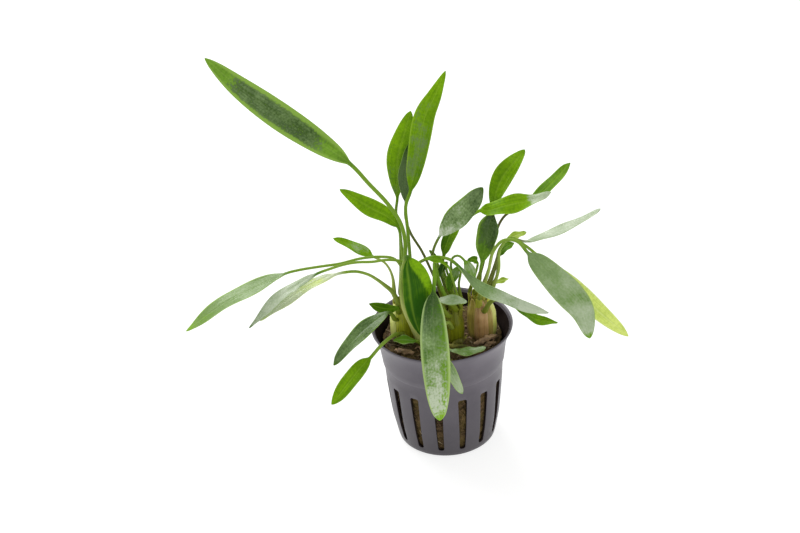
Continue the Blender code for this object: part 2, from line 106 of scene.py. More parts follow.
class Graph:
    """A node tree with one short word for each kind of step."""

    def __init__(self, tree, material=None):
        self.tree = tree
        self.material = material
        self.shader = tree.nodes.get("Principled BSDF")

    def feed(self, socket, value):
        """Joins a socket to another, or gives it a value; a colour may leave out its alpha."""
        if isinstance(value, bpy.types.NodeSocket):
            self.tree.links.new(value, socket)
        elif socket.type == "RGBA" and len(value) == 3:
            socket.default_value = (*value, 1.0)
        else:
            socket.default_value = value

    def step(self, kind, inputs, **settings):
        """Adds a node, feeds the inputs that are named or numbered, and returns its outputs."""
        made = self.tree.nodes.new("ShaderNode" + kind)
        for name, value in settings.items():
            setattr(made, name, value)
        for socket, value in inputs.items():
            self.feed(made.inputs[socket], value)
        return made.outputs

    def calc(self, operation, first, second, clamp=False):
        return self.step("Math", {0: first, 1: second}, operation=operation, use_clamp=clamp)[0]

    def mul(self, first, second, clamp=False):
        return self.calc("MULTIPLY", first, second, clamp)

    def add(self, first, second, clamp=False):
        return self.calc("ADD", first, second, clamp)

    def swing(self, value, amount):
        """Turns a value from 0 to 1 into plus and minus half the amount."""
        return self.mul(self.calc("SUBTRACT", value, 0.5), amount)

    def mix(self, share, first, second):
        return self.step("Mix", {0: share, 6: first, 7: second}, data_type="RGBA")[2]

    def remap(self, value, low, high, to_low=0.0, to_high=1.0):
        numbers = (value, low, high, to_low, to_high)
        return self.step("MapRange", dict(enumerate(numbers)), clamp=True)[0]

    def painted(self, name):
        return self.step("Attribute", {}, attribute_name=name)["Fac"]

    def place(self):
        return self.step("TexCoord", {})["Object"]

    def combine(self, x, y, z):
        return self.step("CombineXYZ", {0: x, 1: y, 2: z})[0]

    def noise(self, place, scale, detail=3.0, roughness=0.5):
        return self.step("TexNoise", {"Vector": place, "Scale": scale, "Detail": detail,
                                      "Roughness": roughness})["Fac"]

    def use(self, group, **values):
        """Places a shared effect and returns its outputs in turn."""
        return list(self.step("Group", values, node_tree=group))

    def shade(self, **values):
        """Feeds the shader's inputs; a name is written with _ where the socket has a space."""
        for name, value in values.items():
            self.feed(self.shader.inputs[name.replace("_", " ")], value)

    def bump(self, height, strength, depth_mm):
        inputs = {"Height": height, "Strength": strength, "Distance": depth_mm * MM}
        self.shade(Normal=self.step("Bump", inputs)["Normal"])


def new_material(name, **values):
    """The graph of a new Principled material, with the shader's plain values set."""
    material = bpy.data.materials.new(name)
    material.use_nodes = True
    graph = Graph(material.node_tree, material)
    graph.shade(**values)
    return graph


def new_group(name, inputs, outputs):
    """A node group with its named number sockets: the group, its graph, its start and end."""
    group = bpy.data.node_groups.new(name, "ShaderNodeTree")
    for label, value in inputs.items():
        socket = group.interface.new_socket(label, in_out="INPUT", socket_type="NodeSocketFloat")
        socket.default_value = value
    for label in outputs:
        group.interface.new_socket(label, in_out="OUTPUT", socket_type="NodeSocketFloat")
    return (group, Graph(group), group.nodes.new("NodeGroupInput").outputs,
            group.nodes.new("NodeGroupOutput").inputs)


FINISH = {}

# %% [markdown]
# ## Floor and light
#
# The plant stands on a plain white floor in a bright, even studio. A white world gives the
# light from all round, which the wet leaves mirror as a grey sheen, on top of the sheen that is
# painted into their colour. One large panel stands behind and above, and a weaker one in front
# to the right, so that the blades keep some shape.
# The floor glows a little by itself and mirrors nothing, like a light table: it stays white in
# the picture, with only a faint shadow at the pot's foot.

# %% Floor and light
FLOOR_SIZE = 6.0
FLOOR_HEIGHT = -0.0002
FLOOR_GLOW = 0.76
WORLD_STRENGTH = 0.62
PANELS = {
    "back_panel": (Vector((-0.35, 0.60, 0.85)), 0.8, 9.0),
    "front_panel": (Vector((0.60, -0.70, 0.75)), 0.7, 2.0),
}
PANEL_AIM = Vector((0.0, 0.0, 0.06))
WHITE = (1.0, 1.0, 1.0)


def build_floor():
    bpy.ops.object.select_all(action="DESELECT")
    bpy.ops.mesh.primitive_plane_add(size=FLOOR_SIZE, location=(0.0, 0.0, FLOOR_HEIGHT))
    floor = bpy.context.object
    floor.name = "floor"
    bpy.ops.object.transform_apply(location=True, rotation=True, scale=True)
    graph = new_material("light_table", Roughness=0.7, Base_Color=(0.35, 0.35, 0.35),
                         Emission_Color=WHITE, Emission_Strength=FLOOR_GLOW)
    floor.data.materials.append(graph.material)


def build_light():
    world = bpy.data.worlds.new("studio")
    bpy.context.scene.world = world
    world.use_nodes = True
    background = world.node_tree.nodes["Background"]
    background.inputs["Color"].default_value = (*WHITE, 1.0)
    background.inputs["Strength"].default_value = WORLD_STRENGTH
    for name, (place, size, watts) in PANELS.items():
        lamp = place_object(name, bpy.data.lights.new(name, "AREA"))
        lamp.data.size = size
        lamp.data.energy = watts
        lamp.location = place
        lamp.rotation_euler = (PANEL_AIM - place).to_track_quat("-Z", "Y").to_euler()


build_floor()
build_light()
bpy.context.scene.view_settings.view_transform = "Standard"
print("light table and panels are in place:", ", ".join(PANELS))

# %% [markdown]
# ## Shared surface effects
#
# Two effects are used by more than one finish, so each is a node group. `mottle` breaks a
# surface into soft blotches and small specks: wet patches on a blade, dust on plastic, damp on
# wool. `lengthwise` draws the fine lines that run along a leaf or a sheath, and closes them
# together at the tip, because it reads how far across the blade a point is.

# %% Shared surface effects
STREAKS_PER_MM = 0.035
LADDER_LINES = 2.5
LADDER_PER_MM = 1.1


def mottle_group():
    group, g, start, end = new_group("mottle", {"Blotch": 300.0, "Speck": 900.0},
                                     ("Blotches", "Specks"))
    place = g.place()
    for size, out in (("Blotch", "Blotches"), ("Speck", "Specks")):
        g.feed(end[out], g.remap(g.noise(place, start[size]), 0.34, 0.66))
    return group


def lengthwise_group():
    group, g, start, end = new_group("lengthwise", {"Lines": 9.0}, ("Streaks", "Ladder"))
    across = g.painted("across")
    run = g.painted("run_mm")
    seed = g.painted("seed")
    flat = g.combine(g.mul(across, start["Lines"]), g.mul(run, STREAKS_PER_MM), seed)
    g.feed(end["Streaks"], g.remap(g.noise(flat, 1.0, 4.0, 0.6), 0.32, 0.68))
    steps = g.combine(g.mul(across, LADDER_LINES), g.mul(run, LADDER_PER_MM), seed)
    g.feed(end["Ladder"], g.remap(g.noise(steps, 1.0, 2.0, 0.5), 0.45, 0.62))
    return group


MOTTLE = mottle_group()
LENGTHWISE = lengthwise_group()
print("shared effects:", MOTTLE.name, LENGTHWISE.name)

# %% [markdown]
# ## Leaf finishes
#
# A living blade is never one green. Painted light takes the tissue from deep green to
# yellow-green where light would come through it, the midrib and the margin are paler, and a thin
# film of water and wax lies on it in patches. The film's colour is mostly painted sheen: glossy
# and almost black on a dark blade, grey-green or painted white where it is thicker, plain green
# where it has run off. The film also makes the blade glossier. These things are painted on the
# vertices while the leaf is shaped: `lit` for the painted light, `vein` and `rim`,
# `film` for how much film and sheen there is, `frost` for how white the painted
# sheen is and `grain` for how far it breaks into specks. So one graph serves every leaf and each
# leaf still has its own pattern. Four finishes share the graph with their own colours: fresh,
# dark, pale and lime. The lime one's yellow-green is painted light through the blade.

# %% Leaf finishes
LeafTone = namedtuple("LeafTone", "deep fresh margin")
# In each tone, fresh is the colour painted where light comes through and deep where none does; the
# lime tone is painted light, the pale yellow-green of blades lit from behind.
LEAF_TONES = {
    "leaf": LeafTone((0.020, 0.090, 0.001), (0.215, 0.430, 0.002), (0.30, 0.48, 0.04)),
    "leaf_dark": LeafTone((0.014, 0.050, 0.003), (0.190, 0.380, 0.030), (0.29, 0.47, 0.08)),
    "leaf_pale": LeafTone((0.040, 0.140, 0.005), (0.240, 0.450, 0.025), (0.46, 0.60, 0.24)),
    "leaf_lime": LeafTone((0.260, 0.400, 0.020), (0.740, 0.860, 0.210), (0.74, 0.84, 0.40)),
}
# Painted sheen and glints: the film's tones, from dark through grey to white, stand in for what a
# wet blade mirrors.
FILM_SHEEN_DARK = (0.024, 0.058, 0.010)
FILM_SHEEN_GREY = (0.220, 0.330, 0.125)
FILM_SHEEN_WHITE = (0.580, 0.640, 0.500)
STALK_GREEN = (0.165, 0.310, 0.020)
STALK_CREAM = (0.560, 0.600, 0.190)
STALK_BROWN = (0.110, 0.060, 0.045)
STALK_FOOT = (0.170, 0.180, 0.010)
LADDER_SHARE = 0.22
VEIN_SHARE = 0.35
MARGIN_SHARE = 0.75
FILM_SHEEN_SHARE = 0.85
FOOT_SHARE = 0.8


def film_and_sheen_cover(g, streaks, blotches, specks):
    """Where the film and its painted sheen lie: solid where the film's number is 1, broken into
    specks as it gets less.
    """
    grain = g.mul(g.swing(specks, 1.3), g.painted("grain"))
    grain = g.add(g.add(grain, g.swing(blotches, 0.7)), g.swing(streaks, 0.5))
    film = g.painted("film")
    cover = g.remap(g.add(g.mul(film, 1.35), grain), 0.40, 0.95)
    return g.mul(cover, g.mul(film, 5.0, clamp=True))


def film_and_sheen_tint(g, streaks, blotches, specks):
    """The film's colour, which is painted sheen: dark where it is thin, painted white glints where
    it beads, as the whiteness number says.
    """
    frost = g.painted("frost")
    change = g.add(g.add(g.swing(specks, 1.1), g.swing(streaks, 0.6)), g.swing(blotches, 0.8))
    change = g.add(g.mul(change, g.painted("grain")), g.swing(blotches, 0.15))
    change = g.mul(change, g.add(frost, 0.2, clamp=True))
    level = g.add(frost, change, clamp=True)
    thin = g.mix(g.remap(level, 0.0, 0.5), FILM_SHEEN_DARK, FILM_SHEEN_GREY)
    return g.mix(g.remap(level, 0.5, 1.0), thin, FILM_SHEEN_WHITE)


def leaf_finish(name, tone):
    g = new_material(name, Coat_Roughness=0.12, Coat_IOR=1.33, IOR=1.18)
    streaks, ladder = g.use(LENGTHWISE, Lines=9.0)
    blotches, specks = g.use(MOTTLE, Blotch=150.0, Speck=1250.0)
    # Painted light: lit blends the tissue from deep green to the green of light coming through it.
    lit = g.add(g.painted("lit"), g.swing(streaks, 0.35))
    lit = g.add(lit, g.swing(blotches, 0.30), clamp=True)
    colour = g.mix(lit, tone.deep, tone.fresh)
    colour = g.mix(g.mul(ladder, LADDER_SHARE), colour, tone.deep)
    colour = g.mix(g.mul(g.painted("vein"), VEIN_SHARE), colour, tone.margin)
    colour = g.mix(g.mul(g.painted("rim"), MARGIN_SHARE), colour, tone.margin)
    # Painted sheen: the film's tint is laid over the tissue, and where it lies the blade is also
    # glossier.
    cover = film_and_sheen_cover(g, streaks, blotches, specks)
    tint = film_and_sheen_tint(g, streaks, blotches, specks)
    colour = g.mix(g.mul(cover, FILM_SHEEN_SHARE), colour, tint)
    stalk = g.mix(g.painted("cream"), STALK_GREEN, STALK_CREAM)
    stalk = g.mix(g.painted("brown"), stalk, STALK_BROWN)
    stalk = g.mix(g.mul(g.painted("foot"), FOOT_SHARE), stalk, STALK_FOOT)
    g.shade(Base_Color=g.mix(g.painted("stalk"), colour, stalk),
            Roughness=g.remap(cover, 0.0, 1.0, 0.45, 0.25),
            Coat_Weight=g.remap(cover, 0.1, 0.9, 0.0, 0.45))
    g.bump(g.add(g.mul(streaks, 0.5), g.mul(specks, cover)), 0.5, 0.10)
    return g.material


for name, tone in LEAF_TONES.items():
    FINISH[name] = leaf_finish(name, tone)
print("leaf finishes:", ", ".join(FINISH))

# %% [markdown]
# ## The route of a stalk and blade
#
# Each leaf leaves its crown, rises, arches over and ends in its tip. A smooth curve through a
# few given points gives that line. The blade also needs to know which way it faces, so
# two more directions travel along the curve: `side`, across the blade, and `face`, out of its
# upper surface. On the stalk they are carried back from the blade without twisting.

# %% Routes
STEPS_PER_SPAN = 24
Route = namedtuple("Route", "travelled points side face blade_start")


def smooth_curve(points):
    """Points on one smooth curve through the given ones."""
    ends = [points[0] * 2 - points[1]] + points + [points[-1] * 2 - points[-2]]
    knots = [0.0]
    for before, after in zip(ends, ends[1:]):
        knots.append(knots[-1] + math.sqrt((after - before).length))
    curve = []
    for span in range(len(points) - 1):
        a, b, c, d = ends[span:span + 4]
        ta, tb, tc, td = knots[span:span + 4]
        for step in range(STEPS_PER_SPAN):
            t = tb + (tc - tb) * step / STEPS_PER_SPAN
            ab = a.lerp(b, (t - ta) / (tb - ta))
            bc = b.lerp(c, (t - tb) / (tc - tb))
            cd = c.lerp(d, (t - tc) / (td - tc))
            abc = ab.lerp(bc, (t - ta) / (tc - ta))
            bcd = bc.lerp(cd, (t - tb) / (td - tb))
            curve.append(abc.lerp(bcd, (t - tb) / (tc - tb)))
    curve.append(points[-1])
    return curve


def make_route(points, first_blade_point, across, twist_deg=0.0):
    """The curve with its distances and its side and face directions."""
    curve = smooth_curve([Vector(point) for point in points])
    travelled = [0.0]
    for before, after in zip(curve, curve[1:]):
        travelled.append(travelled[-1] + (after - before).length)
    count = len(curve)
    along = [(curve[min(index + 2, count - 1)] - curve[max(index - 2, 0)]).normalized()
             for index in range(count)]
    start = first_blade_point * STEPS_PER_SPAN
    across = Vector(across)
    middle = (start + count) // 2
    upper = 1.0 if across.cross(along[middle]).z > 0 else -1.0
    face = [None] * count
    for index in range(start, count):
        share = (index - start) / (count - 1 - start)
        out = across.cross(along[index]).normalized() * upper
        face[index] = Matrix.Rotation(math.radians(twist_deg) * share, 3, along[index]) @ out
    for index in range(start - 1, -1, -1):
        face[index] = along[index + 1].rotation_difference(along[index]) @ face[index + 1]
    side = [face[index].cross(along[index]) for index in range(count)]
    return Route(np.array(travelled), np.array(curve), np.array(side), np.array(face),
                 travelled[start])


def lay_on_route(route, distance, wide, lift):
    """The places on the route of a straight piece's points, in millimetres."""
    points, side, face = (
        np.stack([np.interp(distance, route.travelled, column) for column in table.T], axis=1)
        for table in (route.points, route.side, route.face))
    return points + side * wide[:, None] + face * lift[:, None]

# %% [markdown]
# ## Growing a leaf
#
# The leaf is modelled straight, lying along X at its real length, the way one would do it by
# hand: a small disc is the cut end of the stalk, it is extruded station by station, and each
# new ring is resized, round on the stalk, wide and thin on the blade, almost a point at the tip.
# Two levels of Subdivision Surface make it smooth. Only then is the fine relief pressed in:
# the midrib is a channel above and a keel below, four side veins run with the margin, and the
# margin waves. A Curve modifier would roll the blade where the stalk passes the vertical, so
# the last step, laying the straight leaf on its route, is written out. What a material has to
# know about a place, such as how far along and across the leaf it is, is painted last.

# %% Straight rods
RING_SIDES = 12
RING_SWELL = 1.045


def pick(thing):
    bpy.ops.object.select_all(action="DESELECT")
    thing.select_set(True)
    bpy.context.view_layer.objects.active = thing


def edit(thing):
    pick(thing)
    bpy.ops.object.mode_set(mode="EDIT")


def apply_modifier(thing, kind, **settings):
    pick(thing)
    modifier = thing.modifiers.new(kind.lower(), kind)
    for name, value in settings.items():
        setattr(modifier, name, value)
    bpy.ops.object.modifier_apply(modifier=modifier.name)


def read_vertices(thing):
    flat = np.empty(len(thing.data.vertices) * 3)
    thing.data.vertices.foreach_get("co", flat)
    return flat.reshape(-1, 3)


def place_vertices(thing, places):
    """Moves the vertices to places that are given in millimetres."""
    thing.data.vertices.foreach_set("co", (places * MM).astype(np.float32).ravel())
    thing.data.update()


def draw_disc(name, sides, radius, fill_type, **placing):
    """A disc that is left in Edit Mode, ready for its first extrusion."""
    bpy.ops.object.select_all(action="DESELECT")
    bpy.ops.mesh.primitive_circle_add(vertices=sides, radius=radius, fill_type=fill_type, **placing)
    disc = bpy.context.object
    disc.name = name
    bpy.ops.object.transform_apply(location=True, rotation=True, scale=True)
    edit(disc)
    return disc


def extrude_ring(move, scale, centre):
    bpy.ops.mesh.extrude_region_move(TRANSFORM_OT_translate={"value": move})
    bpy.ops.transform.resize(value=scale, center_override=centre)


def finish_skin():
    """Turns the faces outwards and leaves Edit Mode."""
    bpy.ops.mesh.select_all(action="SELECT")
    bpy.ops.mesh.normals_make_consistent(inside=False)
    bpy.ops.object.mode_set(mode="OBJECT")


def extrude_rod(name, stations):
    """A straight rod along X: one ring for each (distance, half width, half thickness)."""
    rod = draw_disc(name, RING_SIDES, 1.0, "NGON", rotation=(0.0, math.pi / 2, 0.0))
    bpy.ops.mesh.select_all(action="SELECT")
    reached, wide, thick = stations[0]
    bpy.ops.transform.resize(value=(1.0, wide, thick), center_override=(0.0, 0.0, 0.0))
    for distance, next_wide, next_thick in stations[1:]:
        extrude_ring((distance - reached, 0.0, 0.0), (1.0, next_wide / wide, next_thick / thick),
                     (distance, 0.0, 0.0))
        reached, wide, thick = distance, next_wide, next_thick
    finish_skin()
    return rod


def smooth_rod(name, stations):
    """The rod after subdivision; its vertices, and where each lies along and across it."""
    thing = extrude_rod(name, stations)
    apply_modifier(thing, "SUBSURF", levels=2, render_levels=2)
    straight = read_vertices(thing)
    rings = np.array(stations)
    distance = np.clip(straight[:, 0], 0.0, rings[-1, 0])
    half = np.interp(distance, rings[:, 0], rings[:, 1]) / RING_SWELL
    across = np.clip(straight[:, 1] / half, -1.0, 1.0)
    return thing, straight, distance, half, across


def smooth_step(value, low, high):
    share = np.clip((value - low) / (high - low), 0.0, 1.0)
    return share * share * (3.0 - 2.0 * share)


# %% Outline and relief of a blade
BLADE_STATIONS = (0.02, 0.06, 0.12, 0.2, 0.3, 0.42, 0.54, 0.66, 0.77, 0.86, 0.93, 0.975, 1.0)
STALK_SPACING = 4.5
STALK_FLATNESS = 0.6
WING_END = 0.08
TIP_HALF_WIDTH = 0.12
BLADE_HALF_THICKNESS = 0.26
Line = namedtuple("Line", "half_width channel keel")
MIDRIB = Line(0.42, 0.16, 0.34)
SIDE_VEIN = Line(0.22, 0.05, 0.07)
SIDE_VEINS_AT = (0.34, 0.66)
WAVE_RATE = 9.0
Leaf = namedtuple("Leaf", "name finish width across stem widest foot tip look stalk blade")
Look = namedtuple(
    "Look", "film span film_side frost lit side rims wave fold cream brown flap midrib foot grain",
    defaults=(0.1, (0.1, 0.9), 0.0, 0.3, 0.5, 0.0, (0.5, 0.5), 0.35, 0.12, 0.1, 0.0, 0.0, 0.0,
              (0.9, 8.0), 0.12))


def outline_half_width(share, leaf):
    """Half the blade's width, from its foot at 0 to its tip at 1."""
    share = np.clip(share, 0.0, 1.0)
    opening = np.sin(math.pi / 2 * np.clip(share / leaf.widest, 0.0, 1.0)) ** leaf.foot
    closing = np.clip((share - leaf.widest) / (1.0 - leaf.widest), 0.0, 1.0)
    full = leaf.width / 2 * opening * np.cos(math.pi / 2 * closing) ** leaf.tip
    stem = leaf.stem / 2
    wing = stem + (full - stem) * smooth_step(share, 0.0, WING_END)
    return np.where(share < 0.4, np.maximum(wing, stem), np.maximum(full, TIP_HALF_WIDTH))


def leaf_stations(leaf, blade_start, total):
    blade_length = total - blade_start
    stem = leaf.stem / 2 * RING_SWELL
    count = max(int(blade_start / STALK_SPACING), 1)
    extra, reach = leaf.look.foot
    rings = []
    for step in range(count + 1):
        distance = blade_start * step / count
        swollen = stem + extra * (1.0 - float(smooth_step(distance, 0.0, reach)))
        rings.append((distance, swollen, stem + (swollen - stem) * STALK_FLATNESS))
    for share in BLADE_STATIONS:
        half = float(outline_half_width(share, leaf)) * RING_SWELL
        flat = float(smooth_step(share, 0.0, 0.16))
        thick = stem + (BLADE_HALF_THICKNESS * RING_SWELL - stem) * flat
        rings.append((blade_start + blade_length * share, half, min(thick, half)))
    return rings


def press_line(line, off, upper):
    """A channel in the upper face and a keel on the lower one, along a line `off` mm away."""
    return np.where(upper, -line.channel, -line.keel) * np.exp(-(off / line.half_width) ** 2)


def relief(look, share, across, half, upper, seed):
    """How far each point of the straight leaf is lifted out of its plane."""
    blade = smooth_step(share, 0.0, 0.12) * (1.0 - smooth_step(share, 0.9, 1.0))
    lift = press_line(MIDRIB, (across - look.midrib) * half, upper) * blade
    for vein in SIDE_VEINS_AT:
        lift += press_line(SIDE_VEIN, (np.abs(across) - vein) * half, upper) * blade
    rate = WAVE_RATE + 4.0 * seed
    waves = np.sin(share * rate + seed * WAVE_RATE + np.sign(across) * 1.1)
    lift += look.wave * waves * across ** 2 * blade
    lift += look.fold * half * (across - look.midrib) ** 2 * blade
    return lift


# %% Painting a leaf
FOOT_FADE_MM = 16.0
CREAM_FADE_MM = (16.0, 30.0)


def paint(thing, **layers):
    """Stores a number on each vertex under each name, for the materials to read."""
    count = len(thing.data.vertices)
    for name, values in layers.items():
        layer = thing.data.attributes.new(name, "FLOAT", "POINT")
        layer.data.foreach_set("value", np.full(count, values, dtype=np.float32))


def from_to(pair, share):
    """A value that runs evenly from the blade's foot to its tip, or one that stays the same."""
    first, last = pair if isinstance(pair, tuple) else (pair, pair)
    return first + (last - first) * share


def painted_light_band(look, along, across):
    """The band of painted light on one side of the blade, from its foot, where the blade is painted
    brighter.
    """
    if look.flap == 0.0:
        return np.zeros(len(along))
    edge = 1.4 * np.clip(along / look.flap, 0.0, 1.0) - 0.35
    return smooth_step(across, edge - 0.05, edge + 0.05) * smooth_step(along, 0.0, 0.06)


def paint_leaf(thing, look, distance, blade_start, share, across, seed):
    along = np.clip(share, 0.0, 1.0)
    blade = smooth_step(share, -0.02, 0.06)
    start, stop = look.span
    window = smooth_step(share, start - 0.07, start + 0.07)
    window = window * (1.0 - smooth_step(share, stop - 0.08, stop + 0.08))
    wide = np.where(across > 0.0, look.rims[0], look.rims[1])
    rim = smooth_step(np.abs(across), 0.94 - 0.2 * wide, 1.02 - 0.1 * wide) * blade
    film = from_to(look.film, along) * np.clip(1.0 + look.film_side * across, 0.0, 1.5)
    foot = 1.0 - smooth_step(distance, 0.0, FOOT_FADE_MM)
    # The lit number, with its side and band terms, is painted light through the blade; the film
    # numbers paint the film's sheen and white glints.
    paint(thing,
          across=across,
          run_mm=distance - blade_start,
          seed=seed * 50.0,
          lit=np.clip(from_to(look.lit, along) + look.side * across * 0.5
                      + 0.8 * painted_light_band(look, along, across), 0.0, 1.0),
          film=film * window * (1.0 - rim),
          frost=from_to(look.frost, along),
          grain=look.grain,
          vein=np.exp(-((across - look.midrib) / 0.07) ** 2) * blade,
          rim=rim,
          cream=look.cream * (1.0 - 0.7 * smooth_step(distance, *CREAM_FADE_MM)),
          brown=look.brown,
          foot=foot * (1.0 - look.cream),
          stalk=1.0 - smooth_step(share, -0.12, 0.04))


# %% From a straight rod to a leaf
SEED_STEP = 0.618
CROWN_MIDDLES = ((-14.6, -2.2, 5.1), (4.4, -4.4, 4.3), (15.1, -1.6, 5.7))
WOOL_FEET_BELOW = 48.0
ROOTED_LENGTH = 3.0


def root_foot(leaf, placed, distance):
    """Draws the foot of a stalk that starts on a crown's side into that crown."""
    x, y, z = leaf.stalk[0]
    near = min(CROWN_MIDDLES, key=lambda crown: math.hypot(crown[0] - x, crown[1] - y))
    away = math.hypot(near[0] - x, near[1] - y)
    if z < WOOL_FEET_BELOW or away < near[2]:
        return placed
    inward = np.array([near[0] - x, near[1] - y, 0.0]) / away
    pull = (away - near[2] + 1.0) * (1.0 - smooth_step(distance, 0.0, ROOTED_LENGTH))
    return placed + pull[:, None] * inward


def dress(thing, *finishes):
    thing.data.materials.clear()
    for name in finishes:
        thing.data.materials.append(FINISH[name])


def grow_leaf(leaf, index):
    seed = (index * SEED_STEP) % 1.0
    route = make_route(leaf.stalk + leaf.blade, len(leaf.stalk), leaf.across)
    blade_start, total = route.blade_start, route.travelled[-1]
    thing, straight, distance, half, across = smooth_rod(
        leaf.name, leaf_stations(leaf, blade_start, total))
    share = (distance - blade_start) / (total - blade_start)
    pull = 0.35 * smooth_step(share, 0.02, 0.2) * (1.0 - smooth_step(share, 0.9, 1.0))
    across = np.sign(across) * np.abs(across) ** (1.0 + pull)
    lift = straight[:, 2] + relief(leaf.look, share, across, half, straight[:, 2] > 0, seed)
    placed = lay_on_route(route, distance, across * half, lift)
    place_vertices(thing, root_foot(leaf, placed, distance))
    paint_leaf(thing, leaf.look, distance, blade_start, share, across, seed)
    dress(thing, leaf.finish)
    return thing


def hand_over(thing, nodes):
    """The finished piece rides with the plant and stands for its plain solids."""
    thing.data.shade_smooth()
    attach(thing, "root")
    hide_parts(*nodes)
